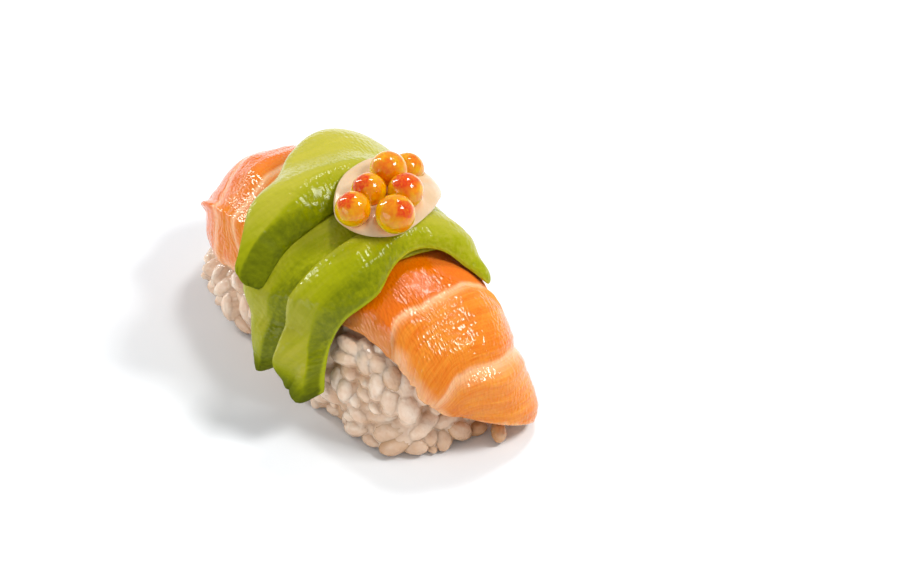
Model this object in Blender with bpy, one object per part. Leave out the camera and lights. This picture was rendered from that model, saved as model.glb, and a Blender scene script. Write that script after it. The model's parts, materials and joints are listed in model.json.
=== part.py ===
"""A salmon nigiri: a rice block, a salmon slice draped along it, three avocado slices across,
a dollop of cream sauce and six pearls of roe.

+X runs along the block to the end where the salmon reaches the table, +Z is up, z = 0 is the table.
Lengths below are in millimetres and become metres when a mesh is made.
Every layer lies on the rice block's skin. A point is given by u, the distance along the skin
from the crown towards +X, v, the distance across it towards +Y, and its lift off the skin.
"""

import math
import random

import bmesh
import bpy
import numpy as np
from mathutils import Matrix, Vector
from mathutils.bvhtree import BVHTree

MM = 0.001
CENTRE = (2.0, -1.55)  # middle of the whole piece, which becomes x = y = 0

# Rice block
HALF_LENGTH, HALF_WIDTH = 28.8, 13.6
WALL_TOP = 7.0  # the wall is upright up to here
DOME_RISE = 13.0  # from the wall's top to the crown
SQUARENESS = 2.6  # exponent of the rounded block, 2 is an ellipsoid
SKIN_LENGTH, SKIN_WIDTH = 39.0, 26.0  # u and v from the crown to the wall's top
REAR_DROP = 0.11  # share by which the dome gets lower towards -X
REAR_LEAN, LEAN_DEPTH = 0.14, 6.0  # how far that end leans in, from this depth below the wall's top
FOOT_ROUND = 1.2  # rounding where the wall meets the table
BLOCK_AROUND, DOME_RINGS = 40, 10

# Rice grains that show on the walls
GRAIN_HALF = (2.75, 1.5, 1.45)
GRAIN_STEP = 3.2
GRAIN_SEED = 41
GRAIN_TRIES = (  # share of the length and lift off the skin, the first one that touches no topping
    (1, 0.2),
    (1, 0),
    (0.85, -0.3),
    (0.85, -0.3),
    (0.75, -0.6),
    (0.7, -0.9),
    (0.6, -0.9),
)
GRAIN_SIZES = (0.88, 1.1)
GRAIN_TILT = 0.35  # most that a grain's length leans out of the skin
GRAIN_LOWEST_MIDDLE = 1.4  # no grain has its middle lower than this
GRAIN_THROWS = 9000
GRAIN_REACH = (0.05, 1.75)  # squares of the distance from the crown: the wall's top is 1
GRAIN_FOOT = 0.1  # lowest point of a grain

GAP = 0.3  # between pieces that touch
END_STEP = 0.05  # from a slice's end point to its first ring
RIM = 0.35  # height of a slice's rim, as a share of its thickness

# Salmon slice: stations of u, with v at the -Y edge and v at the +Y edge
SALMON_U = (-36.0, -30.0, -20.0, -9.0, 4.0, 14.0, 21.0, 32.0, 37.0, 40.3)
SALMON_NEAR = (-8.0, -14.0, -18.2, -18.4, -15.0, -10.2, -7.8, -5.8, -2.3, 6.0)
SALMON_FAR = (8.0, 12.0, 14.5, 15.5, 15.5, 16.3, 17.0, 18.4, 18.6, 13.0)
SALMON_THICK, SALMON_THIN_END = 3.5, 1.3
THIN_U = (-37.0, -12.0)  # from the thin end to full thickness
TIP_FLARE = 5.2  # how far the tip stands off the rice
FLARE_U, FLARE_V = (20.0, 41.0), (0.0, 19.0)  # where it starts and where it is full
SALMON_ROUND_REAR, SALMON_ROUND_TIP = 3.0, 2.0
SALMON_BLUNTNESS = 2.6  # exponent of the section, 2 is an ellipse
SALMON_RINGS, SALMON_AROUND = 26, 26

# Avocado slices: rows of stations of v, of u at the rear edge and of u at the front edge
REAR = (
    (-15.6, -13.0, -10.0, -6.0, -2.0, 3.0, 8.0, 12.5, 16.0),
    (2.2, -1.4, -5.4, -8.8, -11.8, -14.0, -15.6, -15.5, -13.0),
    (4.2, 3.5, 1.7, 1.6, 2.4, 1.8, -0.5, -4.0, -9.0),
)
MIDDLE = (
    (-26.5, -23.0, -18.0, -14.0, -6.0, 2.0, 8.0, 13.3),
    (7.6, 5.0, 1.2, -1.5, -1.5, -1.5, -0.6, 2.4),
    (10.0, 11.2, 11.6, 11.4, 11.2, 10.8, 10.4, 8.6),
)
FRONT = (
    (-22.4, -20.0, -17.5, -14.0, -10.0, -5.0, 0.0, 5.0, 9.5, 13.4),
    (17.5, 13.6, 10.7, 8.9, 7.8, 7.3, 6.9, 6.6, 8.6, 14.8),
    (20.4, 19.8, 18.1, 15.1, 14.4, 14.2, 12.4, 11.8, 12.8, 17.0),
)
REAR_THICK, MIDDLE_THICK, FRONT_THICK = 5.7, 2.7, 3.0
REAR_LEAN_OFF, MIDDLE_LEAN_OFF, FRONT_LEAN_OFF = 0.7, 0.5, 0.3  # thinning from rear edge to front edge
HANG_EXTRA, HANG_V = 1.9, (13.0, 20.0)  # the hanging ends towards -Y are this much thicker
FAR_THINNING, FAR_V = 0.3, (3.0, 14.0)  # share lost at the ends towards +Y
SLICE_ROUND_NEAR, SLICE_ROUND_FAR = 2.2, 3.0
SLICE_BLUNTNESS = 2.7
SLICE_RINGS, SLICE_AROUND = 20, 18
RAMP_BACK, RAMP_FRONT = 6.5, 3.5  # how far from a slice's edge the next layer starts to climb it
WALL_CLEAR = 1.6  # the hanging ends stand this far off the rice

# Cream and roe
CREAM_MIDDLE = (4.2, 2.9)  # u, v
CREAM_HALF = (7.9, 5.5)  # along its length, across it
CREAM_TURN = 115.0  # degrees from +u towards +v
CREAM_THICK = 2.0
CREAM_FULLNESS = 0.75  # 1 is a round section, less is fuller towards top and bottom
CREAM_WAVE = 0.03  # how far its outline swings in and out
CREAM_LEVELLING, CREAM_SINK = 3.0, 0.8  # it levels what lies this far round it, and sinks no more than this
CREAM_RINGS, CREAM_AROUND = 13, 30
PEARL_AROUND, PEARL_RINGS = 10, 7
ROE = (  # u, v, lift of the middle, radius
    (6.4, -3.7, 12.6, 2.5),
    (4.7, 0.5, 12.1, 2.5),
    (2.6, 4.7, 12.6, 2.65),
    (0.9, 7.9, 10.6, 2.4),
    (7.0, 4.8, 12.0, 2.2),
    (9.4, 1.2, 12.6, 2.85),
)


def spline(x, stations, values):
    """Smooth curve through the values: a cubic Hermite whose slopes come from the neighbours."""
    stations, values = np.asarray(stations, float), np.asarray(values, float)
    slopes = np.gradient(values, stations)
    x = np.clip(x, stations[0], stations[-1])
    i = np.clip(np.searchsorted(stations, x) - 1, 0, len(stations) - 2)
    width = stations[i + 1] - stations[i]
    t = (x - stations[i]) / width
    rest = 1 - t
    return (
        values[i] * (1 + 2 * t) * rest**2
        + values[i + 1] * t**2 * (3 - 2 * t)
        + width * (slopes[i] * t * rest**2 - slopes[i + 1] * t**2 * rest)
    )


def ease(x, start, end):
    """0 up to start, 1 from end on, smooth between."""
    t = np.clip((np.asarray(x, float) - start) / (end - start), 0, 1)
    return t * t * (3 - 2 * t)


def cap(x, length):
    """Quarter-circle rounding: 0 at x = 0, 1 from length on."""
    t = 1 - np.clip(np.asarray(x, float) / length, 0, 1)
    return np.sqrt(1 - t * t)


def skin(u, v):
    """Points of the rice block's skin and the unit normals there."""
    along, across = np.asarray(u, float) / SKIN_LENGTH, np.asarray(v, float) / SKIN_WIDTH
    reach = np.hypot(along, across)
    polar, turn = math.pi / 2 * np.minimum(reach, 1), np.arctan2(across, along)
    ball = np.stack([np.sin(polar) * np.cos(turn), np.sin(polar) * np.sin(turn), np.cos(polar)], -1)
    ball /= (np.abs(ball) ** SQUARENESS).sum(-1, keepdims=True) ** (1 / SQUARENESS)
    sides = np.array([HALF_LENGTH, HALF_WIDTH, DOME_RISE])
    point = ball * sides
    normal = np.sign(ball) * np.abs(ball) ** (SQUARENESS - 1) / sides
    normal /= np.linalg.norm(normal, axis=-1, keepdims=True)
    rear = np.clip(-point[..., 0] / HALF_LENGTH, 0, 1)
    point[..., 0] += REAR_LEAN * rear * (point[..., 2] + LEAN_DEPTH)
    point[..., 2] *= 1 - REAR_DROP * rear**1.5
    step = np.hypot(SKIN_LENGTH * np.cos(turn), SKIN_WIDTH * np.sin(turn))
    point[..., 2] += WALL_TOP - np.maximum(reach - 1, 0) * step
    return point, normal


def lifted(u, v, lift):
    """Points that far off the skin, along its normals."""
    point, normal = skin(u, v)
    return point + normal * np.asarray(lift, float)[..., None]


def salmon_edges(u):
    return spline(u, SALMON_U, SALMON_NEAR), spline(u, SALMON_U, SALMON_FAR)


def salmon_under(u, v):
    """Lift of the salmon's lower face: on the rice, but for the tip that stands off it."""
    return GAP + TIP_FLARE * ease(u, *FLARE_U) * ease(v, *FLARE_V)


def salmon_thick(u):
    return SALMON_THIN_END + (SALMON_THICK - SALMON_THIN_END) * ease(u, *THIN_U)


def salmon_cover(u, v):
    """Lift that clears the salmon, and clears the rice beyond the salmon's edges."""
    near, far = salmon_edges(u)
    on = ease(v, near - 3.5, near + 0.5) * ease(-v, -far - 3.5, -far + 0.5)
    return WALL_CLEAR + (GAP + salmon_thick(u) + GAP - WALL_CLEAR) * on


def slice_thick(v, top):
    return top * (1 - FAR_THINNING * ease(v, *FAR_V)) + HANG_EXTRA * ease(-v, *HANG_V)


def slice_cover(u, v, under, outline, thickness):
    """Lift that clears a slice with this outline and thickness, lying at the lift under."""
    (stations, backs, fronts), (top, thinning) = outline, thickness
    back, front = spline(v, stations, backs), spline(v, stations, fronts)
    place = np.clip((u - back) / (front - back), 0, 1)
    thick = slice_thick(v, top) * (1 - thinning * place)
    on = ease(u, back - RAMP_BACK, back - 0.3) * ease(-u, -front - RAMP_FRONT, -front - 0.3)
    on = on * ease(v, stations[0] - 2, stations[0]) * ease(-v, -stations[-1] - 2, -stations[-1])
    return under + (thick + GAP) * on


def middle_cover(u, v):
    under = salmon_cover(u, v)
    return slice_cover(u, v, under, MIDDLE, (MIDDLE_THICK, MIDDLE_LEAN_OFF))


def avocado_cover(u, v):
    """Lift that clears all three slices."""
    under = middle_cover(u, v)
    rear = slice_cover(u, v, under, REAR, (REAR_THICK, REAR_LEAN_OFF))
    front = slice_cover(u, v, under, FRONT, (FRONT_THICK, FRONT_LEAN_OFF))
    return np.maximum(rear, front)


def section(points, bluntness):
    """Across and height of a closed section: -1 to 1 across, 0 to 1 high, widest at the rim."""
    turn = np.arange(points) * 2 * math.pi / points
    across = np.sign(np.cos(turn)) * np.abs(np.cos(turn)) ** (2 / bluntness)
    height = np.sign(np.sin(turn)) * np.abs(np.sin(turn)) ** (2 / bluntness)
    return across, rim_height(height)


def rim_height(level):
    """Height from 0 to 1 of a level that runs from -1 through 0, the rim, to 1."""
    return RIM + np.where(level > 0, 1 - RIM, RIM) * level


def spread(start, end, count):
    """Values from start to end, closer together at both ends."""
    t = np.linspace(0, 1, count)
    return start + (end - start) * (0.45 * t + 0.55 * (1 - np.cos(math.pi * t)) / 2)


def closed_body(name, rings, material):
    """A closed mesh from rings of points, with one point closing each end."""
    count, around = rings.shape[:2]
    ends = np.stack([rings[0].mean(0), rings[-1].mean(0)])
    points = (np.concatenate([rings.reshape(-1, 3), ends]) - [*CENTRE, 0]) * MM
    first, last = count * around, count * around + 1
    faces = []
    for i in range(count - 1):
        for k in range(around):
            a, b = i * around + k, i * around + (k + 1) % around
            faces.append((a, b, b + around, a + around))
    for k in range(around):
        after = (k + 1) % around
        faces.append((first, after, k))
        faces.append((last, (count - 1) * around + k, (count - 1) * around + after))
    return new_object(name, points.tolist(), faces, material)


def new_object(name, points, faces, material):
    mesh = bpy.data.meshes.new(name)
    mesh.from_pydata(points, [], faces)
    shape = bmesh.new()
    shape.from_mesh(mesh)
    bmesh.ops.recalc_face_normals(shape, faces=shape.faces)
    bmesh.ops.triangulate(shape, faces=shape.faces)
    shape.to_mesh(mesh)
    shape.free()
    mesh.shade_smooth()
    mesh.materials.append(material)
    obj = bpy.data.objects.new(name, mesh)
    bpy.context.scene.collection.objects.link(obj)
    return obj


def new_material(name, colour, roughness):
    material = bpy.data.materials.new(name)
    material.use_nodes = True
    shader = material.node_tree.nodes["Principled BSDF"]
    shader.inputs["Base Color"].default_value = (*colour, 1)
    shader.inputs["Roughness"].default_value = roughness
    return material


def salmon(material):
    u = spread(SALMON_U[0] + END_STEP, SALMON_U[-1] - END_STEP, SALMON_RINGS)[:, None]
    across, height = section(SALMON_AROUND, SALMON_BLUNTNESS)
    near, far = salmon_edges(u)
    round_end = cap(u - SALMON_U[0], SALMON_ROUND_REAR) * cap(SALMON_U[-1] - u, SALMON_ROUND_TIP)
    v = (near + far) / 2 + (far - near) / 2 * round_end * across
    u = u + 0 * v
    lift = salmon_under(u, v) + salmon_thick(u) * (0.2 + 0.8 * round_end) * height
    return closed_body("salmon", lifted(u, v, lift), material)


def avocado(name, outline, thickness, under, material):
    """A slice across the block, thinning from its rear edge to its front edge."""
    (stations, backs, fronts), (thick, thinning) = outline, thickness
    v = spread(stations[0] + END_STEP, stations[-1] - END_STEP, SLICE_RINGS)[:, None]
    across, height = section(SLICE_AROUND, SLICE_BLUNTNESS)
    back, front = spline(v, stations, backs), spline(v, stations, fronts)
    round_end = cap(v - stations[0], SLICE_ROUND_NEAR) * cap(stations[-1] - v, SLICE_ROUND_FAR)
    u = (back + front) / 2 + (front - back) / 2 * round_end * across
    v = v + 0 * u
    wedge = 1 - thinning * (across + 1) / 2
    lift = under(u, v) + slice_thick(v, thick) * (0.3 + 0.7 * round_end) * wedge * height
    return closed_body(name, lifted(u, v, lift), material)


def cream(material):
    """A flattened dollop, pressed in where the pearls of roe sit."""
    level = np.linspace(-math.pi / 2, math.pi / 2, CREAM_RINGS + 2)[1:-1, None]
    turn = np.arange(CREAM_AROUND) * 2 * math.pi / CREAM_AROUND
    reach = np.cos(level) ** CREAM_FULLNESS
    height = rim_height(np.sin(level))
    wave = 1 + CREAM_WAVE * np.cos(3 * turn + 0.6)
    long, wide = CREAM_HALF[0] * reach * wave * np.cos(turn), CREAM_HALF[1] * reach * wave * np.sin(turn)
    swing = math.radians(CREAM_TURN)
    u = CREAM_MIDDLE[0] + long * math.cos(swing) - wide * math.sin(swing)
    v = CREAM_MIDDLE[1] + long * math.sin(swing) + wide * math.cos(swing)
    under = avocado_cover(u, v)
    steps = [(CREAM_LEVELLING * math.cos(a), CREAM_LEVELLING * math.sin(a)) for a in turn[::3]]
    levelled = sum(avocado_cover(u + du, v + dv) for du, dv in steps) / len(steps)
    points = lifted(u, v, under + (np.maximum(levelled - under, -CREAM_SINK) + CREAM_THICK) * height)
    dollop = closed_body("cream", points, material)
    dents = [pearl("dent", middle, radius + GAP) for middle, radius in roe_places()]
    combine(dollop, dents, "DIFFERENCE")


def roe_places():
    """Middle and radius of each pearl."""
    return [(lifted(u, v, lift), radius) for u, v, lift, radius in ROE]


def pearl(name, middle, radius):
    """A ball that isn't in the scene yet."""
    shape = bmesh.new()
    bmesh.ops.create_uvsphere(shape, u_segments=PEARL_AROUND, v_segments=PEARL_RINGS, radius=radius * MM)
    mesh = bpy.data.meshes.new(name)
    shape.to_mesh(mesh)
    shape.free()
    mesh.shade_smooth()
    obj = bpy.data.objects.new(name, mesh)
    obj.location = Vector(middle - [*CENTRE, 0]) * MM
    return obj


def roe(material):
    for number, (middle, radius) in enumerate(roe_places(), 1):
        obj = pearl(f"roe_{number}", middle, radius)
        obj.data.materials.append(material)
        bpy.context.scene.collection.objects.link(obj)


def combine(obj, helpers, operation):
    """Joins all the helpers to the object, or cuts them from it, and removes them."""
    group = bpy.data.collections.new("helpers")
    bpy.context.scene.collection.children.link(group)
    for helper in helpers:
        group.objects.link(helper)
    change = obj.modifiers.new("change", "BOOLEAN")
    change.operation = operation
    change.operand_type = "COLLECTION"
    change.collection = group
    change.solver = "EXACT"
    bpy.context.view_layer.update()
    changed = bpy.data.meshes.new_from_object(obj.evaluated_get(bpy.context.evaluated_depsgraph_get()))
    obj.modifiers.clear()
    for helper in helpers:
        bpy.data.objects.remove(helper)
    bpy.data.collections.remove(group)
    obj.data = changed
    keep_outer_skin(changed)


def rice_block(material):
    """The core: rings down the dome, then down the wall to a rounded foot and a flat bottom."""
    turn = np.arange(BLOCK_AROUND) * 2 * math.pi / BLOCK_AROUND
    reach = np.sin(np.linspace(0, math.pi / 2, DOME_RINGS + 1))[1:, None]
    dome, _ = skin(SKIN_LENGTH * reach * np.cos(turn), SKIN_WIDTH * reach * np.sin(turn))
    edge, outward = skin(SKIN_LENGTH * np.cos(turn), SKIN_WIDTH * np.sin(turn))
    rings = [*dome]
    chamfer = 0.3 * FOOT_ROUND
    for height, inset in ((WALL_TOP / 2, 0), (FOOT_ROUND, 0), (chamfer, chamfer), (0, FOOT_ROUND)):
        ring = edge - outward * inset
        ring[:, 2] = height
        rings.append(ring)
    return closed_body("rice", np.array(rings), material)


def grain_shape(sides, pose):
    """A grain of 30 triangles, with its corners in the frame that pose gives."""
    shape = bmesh.new()
    bmesh.ops.create_uvsphere(shape, u_segments=5, v_segments=4, radius=1)
    size = Matrix.Diagonal((sides[1], sides[2], sides[0], 1))
    bmesh.ops.transform(shape, matrix=Matrix.Scale(MM, 4) @ pose @ size, verts=shape.verts)
    bmesh.ops.triangulate(shape, faces=shape.faces)
    return shape


def grain_pose(point, normal, rule, sink):
    """A frame on the skin: long side along the skin at a seeded angle, tipped a little."""
    out = Vector(normal)
    along = out.orthogonal().normalized()
    along.rotate(Matrix.Rotation(rule.uniform(0, math.pi), 3, out))
    along = (along + out * rule.uniform(-GRAIN_TILT, GRAIN_TILT)).normalized()
    side = out.cross(along).normalized()
    frame = Matrix((side, along.cross(side), along)).transposed().to_4x4()
    frame.translation = Vector(point) + out * sink
    return frame


def grain_places(rule):
    """Seeded points of the skin, none nearer to another than the grain step."""
    kept = []
    for _ in range(GRAIN_THROWS):
        turn = rule.uniform(0, 2 * math.pi)
        reach = math.sqrt(rule.uniform(*GRAIN_REACH))
        point, normal = skin(SKIN_LENGTH * reach * math.cos(turn), SKIN_WIDTH * reach * math.sin(turn))
        if point[2] < GRAIN_LOWEST_MIDDLE:
            continue
        if all(np.linalg.norm(point - other[0]) > GRAIN_STEP for other in kept):
            kept.append((point, normal))
    return kept


def rice(material, toppings):
    """The block with the grains that show fused on. A grain that would touch a topping is sunk or left out."""
    block = rice_block(material)
    rule = random.Random(GRAIN_SEED)
    others = [BVHTree.FromPolygons(*plain(obj)) for obj in toppings]
    grains = []
    for point, normal in grain_places(rule):
        size = rule.uniform(*GRAIN_SIZES)
        for shorter, sink in GRAIN_TRIES:
            pose = grain_pose(point - [*CENTRE, 0], normal, rule, sink)
            sides = [GRAIN_HALF[0] * size * shorter, GRAIN_HALF[1] * size, GRAIN_HALF[2] * size]
            wider = grain_shape([side + GAP for side in sides], pose)
            clear = BVHTree.FromBMesh(wider)
            lowest = min(corner.co.z for corner in wider.verts) + GAP * MM
            wider.free()
            if any(clear.overlap(other) for other in others):
                continue
            grain = grain_shape(sides, pose)
            bmesh.ops.translate(grain, vec=(0, 0, max(0, GRAIN_FOOT * MM - lowest)), verts=grain.verts)
            mesh = bpy.data.meshes.new("grain")
            grain.to_mesh(mesh)
            grain.free()
            grains.append(bpy.data.objects.new("grain", mesh))
            break
    combine(block, grains, "UNION")
    block.data.shade_flat()


def plain(obj):
    """Corners and faces of an object, as its parent space holds them."""
    corners = [obj.matrix_basis @ corner.co for corner in obj.data.vertices]
    return corners, [tuple(face.vertices) for face in obj.data.polygons]


def keep_outer_skin(mesh):
    """Drops every sealed hollow and loose scrap: all but the connected surface with the most volume."""
    shape = bmesh.new()
    shape.from_mesh(mesh)
    bmesh.ops.triangulate(shape, faces=shape.faces)
    left, surfaces = set(shape.faces), []
    while left:
        surface, edge = set(), [left.pop()]
        while edge:
            face = edge.pop()
            surface.add(face)
            for line in face.edges:
                for other in line.link_faces:
                    if other in left:
                        left.remove(other)
                        edge.append(other)
        surfaces.append(surface)
    surfaces.sort(key=volume_of)
    for surface in surfaces[:-1]:
        bmesh.ops.delete(shape, geom=list(surface), context="FACES")
    shape.to_mesh(mesh)
    shape.free()


def volume_of(faces):
    """Volume that the triangles close in."""
    total = 0
    for face in faces:
        a, b, c = (corner.co for corner in face.verts)
        total += a.dot(b.cross(c)) / 6
    return total


def build():
    for obj in list(bpy.data.objects):
        bpy.data.objects.remove(obj)
    toppings = [salmon(new_material("salmon_flesh", (0.86, 0.29, 0.1), 0.35))]
    for name, outline, thick, under, colour in (
        ("avocado_middle", MIDDLE, (MIDDLE_THICK, MIDDLE_LEAN_OFF), salmon_cover, (0.33, 0.38, 0.06)),
        ("avocado_rear", REAR, (REAR_THICK, REAR_LEAN_OFF), middle_cover, (0.45, 0.46, 0.1)),
        ("avocado_front", FRONT, (FRONT_THICK, FRONT_LEAN_OFF), middle_cover, (0.28, 0.36, 0.03)),
    ):
        flesh = new_material(f"{name}_flesh", colour, 0.4)
        toppings.append(avocado(name, outline, thick, under, flesh))
    cream(new_material("cream_sauce", (0.9, 0.8, 0.6), 0.3))
    roe(new_material("roe_skin", (0.9, 0.35, 0.02), 0.1))
    rice(new_material("rice_grain", (0.85, 0.8, 0.7), 0.5), toppings)


build()
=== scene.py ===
# %% [markdown]
# # Salmon nigiri with avocado, cream sauce and roe
#
# A nigiri is a small block of pressed rice with a slice of raw fish laid over it. On this one three slices of
# avocado lie across the salmon, and a dollop of cream sauce with six pearls of salmon roe sits on top.
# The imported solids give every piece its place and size. This lesson swaps each plain solid for the real thing:
# separate grains, flesh with fibres and fat lines, cut fruit, thick sauce and clear pearls.

# %% Load the frame
import json
import math

import bpy
import numpy as np
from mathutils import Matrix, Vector
from mathutils.bvhtree import BVHTree

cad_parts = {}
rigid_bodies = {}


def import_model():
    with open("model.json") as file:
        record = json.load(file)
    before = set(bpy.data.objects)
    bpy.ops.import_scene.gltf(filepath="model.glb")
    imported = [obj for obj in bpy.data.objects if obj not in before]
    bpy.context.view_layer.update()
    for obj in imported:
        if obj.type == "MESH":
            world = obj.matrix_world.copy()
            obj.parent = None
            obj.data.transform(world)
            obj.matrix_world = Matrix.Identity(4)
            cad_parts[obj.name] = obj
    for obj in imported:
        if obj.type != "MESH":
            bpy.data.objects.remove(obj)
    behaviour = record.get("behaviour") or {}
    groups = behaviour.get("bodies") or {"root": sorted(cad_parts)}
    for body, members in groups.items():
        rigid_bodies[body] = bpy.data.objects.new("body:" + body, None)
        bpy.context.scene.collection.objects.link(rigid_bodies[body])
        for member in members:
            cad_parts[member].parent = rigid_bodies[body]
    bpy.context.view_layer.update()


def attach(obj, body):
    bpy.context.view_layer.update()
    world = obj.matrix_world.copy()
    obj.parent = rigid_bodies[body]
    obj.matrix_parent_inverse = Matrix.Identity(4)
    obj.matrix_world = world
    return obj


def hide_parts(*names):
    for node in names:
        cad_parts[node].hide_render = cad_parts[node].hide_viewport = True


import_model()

MM = 0.001

# %% [markdown]
# ## The view
#
# A food photographer shoots such a small thing with a long lens from about 0.7 m away, looking down at it
# by 40 degrees. The long lens keeps the near and the far end at nearly the same scale. The camera is placed
# by its direction: azimuth turns it round the piece and elevation lifts it.

# %% Camera
AZIMUTH, ELEVATION = math.radians(58.4), math.radians(40)
DISTANCE, LENS, SENSOR = 700, 187.6, 36  # mm
AIM = np.array([-2.0, 1.55, 0])  # the middle of the rice block, on the table
SIDE_STEP, UP_STEP = 15.22, 8.21  # how far the picture's middle lies from that point

right = np.array([math.cos(AZIMUTH), math.sin(AZIMUTH), 0])
back = np.array(
    [math.sin(AZIMUTH) * math.cos(ELEVATION), -math.cos(AZIMUTH) * math.cos(ELEVATION), math.sin(ELEVATION)]
)
up = np.cross(back, right)
camera = bpy.data.objects.new("camera", bpy.data.cameras.new("camera"))
bpy.context.scene.collection.objects.link(camera)
camera.location = (AIM + back * DISTANCE + right * SIDE_STEP + up * UP_STEP) * MM
camera.rotation_euler = Vector(back).to_track_quat("Z", "Y").to_euler()
camera.data.lens, camera.data.sensor_width = LENS, SENSOR
camera.data.clip_start, camera.data.clip_end = 0.05, 20
bpy.context.scene.camera = camera
print("camera at", [round(x, 3) for x in camera.location])

# %% [markdown]
# ## Light and table
#
# Food looks moist because small, bright lights glint in its wet film. A key light high on the right gives the
# round spot on each pearl and the soft shadow on the left. A long strip at the back left draws the thin streak
# on the pearls and makes the rear of the fish glitter, and a small light from above adds the glints by the fat
# lines. A broad, weak fill from the near left opens the shadows on the rice. A pale sky lights the rest, so
# that nothing goes black. The table is plain and pale, with hardly any gloss.


# %% Light
def area_light(name, direction, distance, size, watts, colour):
    """A rectangle of light that far out in that direction, facing the piece."""
    lamp = bpy.data.lights.new(name, "AREA")
    lamp.shape = "RECTANGLE"
    lamp.size, lamp.size_y = size
    lamp.energy, lamp.color = watts, colour
    light = bpy.data.objects.new(name, lamp)
    way = Vector(direction).normalized()
    light.location = way * distance
    light.rotation_euler = way.to_track_quat("Z", "Y").to_euler()
    bpy.context.scene.collection.objects.link(light)


KEY_WAY = np.array([0.43, 0.45, 0.78])
LIGHTS = (  # name, direction, distance in m, sides in m, watts, colour
    ("key", KEY_WAY, 0.6, (0.155, 0.155), 2.4, (1, 0.985, 0.96)),
    ("strip", (-0.865, -0.25, 0.44), 0.5, (0.045, 0.3), 1.0, (1, 0.99, 0.97)),
    ("top", (-0.26, 0.4, 0.88), 0.55, (0.095, 0.095), 1.0, (1, 0.99, 0.97)),
    ("fill", (0.1, -0.95, 0.24), 0.7, (0.5, 0.28), 1.25, (1, 1, 1)),
)
SKY_COLOUR, SKY_STRENGTH = (0.96, 0.98, 1, 1), 0.48

for light in LIGHTS:
    area_light(*light)
world = bpy.data.worlds.new("pale_sky")
world.use_nodes = True
sky = world.node_tree.nodes["Background"]
sky.inputs["Color"].default_value = SKY_COLOUR
sky.inputs["Strength"].default_value = SKY_STRENGTH
bpy.context.scene.world = world
bpy.context.scene.view_settings.view_transform = "Standard"

# %% Table
TABLE = 1.5  # metres, half a side
TABLE_COLOUR, TABLE_ROUGHNESS = (0.835, 0.862, 0.893, 1), 0.9
table_mesh = bpy.data.meshes.new("table")
table_mesh.from_pydata(
    [(-TABLE, -TABLE, 0), (TABLE, -TABLE, 0), (TABLE, TABLE, 0), (-TABLE, TABLE, 0)], [], [(0, 1, 2, 3)]
)
table = bpy.data.objects.new("table", table_mesh)
bpy.context.scene.collection.objects.link(table)
table_paint = bpy.data.materials.new("pale_table")
table_paint.use_nodes = True
table_shader = table_paint.node_tree.nodes["Principled BSDF"]
table_shader.inputs["Base Color"].default_value = TABLE_COLOUR
table_shader.inputs["Roughness"].default_value = TABLE_ROUGHNESS
table_mesh.materials.append(table_paint)
print("table:", 2 * TABLE, "m square")

# %% [markdown]
# ## Five curves
#
# Soft food has no straight line, so every edge and swell below is built from the same five curves: a spline
# through a few chosen points, a step that eases in and out, a quarter circle for rounded ends, a bell for
# ridges and grooves, and a smooth ripple for all that is irregular. The ripple takes a seed, so it comes out
# the same each time.

# %% Curves
RIPPLE_CELLS = 97  # the ripple's random heights repeat after this many


def spline(x, stations, values):
    """A smooth curve through the values: between two stations a cubic whose slopes come from the neighbours."""
    stations, values = np.asarray(stations, float), np.asarray(values, float)
    slopes = np.gradient(values, stations)
    x = np.clip(x, stations[0], stations[-1])
    i = np.clip(np.searchsorted(stations, x) - 1, 0, len(stations) - 2)
    width = stations[i + 1] - stations[i]
    t = (x - stations[i]) / width
    rest = 1 - t
    return (
        values[i] * (1 + 2 * t) * rest**2
        + values[i + 1] * t**2 * (3 - 2 * t)
        + width * (slopes[i] * t * rest**2 - slopes[i + 1] * t**2 * rest)
    )


def ease(x, start, end):
    """0 up to start, 1 from end on, and 3t^2 - 2t^3 between."""
    t = np.clip((np.asarray(x, float) - start) / (end - start), 0, 1)
    return t * t * (3 - 2 * t)


def cap(x, length):
    """A quarter circle: 0 at x = 0, 1 from length on."""
    t = 1 - np.clip(np.asarray(x, float) / length, 0, 1)
    return np.sqrt(1 - t * t)


def ridge(distance, width):
    """A bell curve: 1 where the distance is 0, fading over the width."""
    return np.exp(-((distance / width) ** 2))


def ripple(x, y, seed):
    """Smooth noise from -1 to 1: random heights at the whole numbers, blended by the ease curve between."""
    heights = np.random.default_rng(seed).uniform(-1, 1, (RIPPLE_CELLS, RIPPLE_CELLS))
    i, j = np.floor(x).astype(int), np.floor(y).astype(int)
    p, q = ease(x - i, 0, 1), ease(y - j, 0, 1)

    def corner(di, dj):
        return heights[(i + di) % RIPPLE_CELLS, (j + dj) % RIPPLE_CELLS]

    low = corner(0, 0) * (1 - q) + corner(0, 1) * q
    high = corner(1, 0) * (1 - q) + corner(1, 1) * q
    return low * (1 - p) + high * p


print("ease at a quarter, a half and three quarters:", np.round(ease([0.25, 0.5, 0.75], 0, 1), 2))

# %% [markdown]
# ## One skin for every layer
#
# Everything here is draped over the rice block. So the block's skin comes first: a function that takes u, the
# distance along the block, and v, the distance across it, and gives the point and the direction that stands
# out of it. Each layer is then a lift off that skin, and layers fit each other however the block curves.

# %% The skin
CENTRE = np.array([2.0, -1.55, 0])  # the middle of the whole piece, which is x = y = 0 in the frame
HALF_LENGTH, HALF_WIDTH, DOME_RISE = 28.8, 13.6, 13.0
WALL_TOP = 7.0
SQUARENESS = 2.6
SKIN_LENGTH, SKIN_WIDTH = 39.0, 26.0  # u and v from the crown to the top of the wall
REAR_DROP, REAR_LEAN, LEAN_DEPTH = 0.11, 0.14, 6.0


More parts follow.
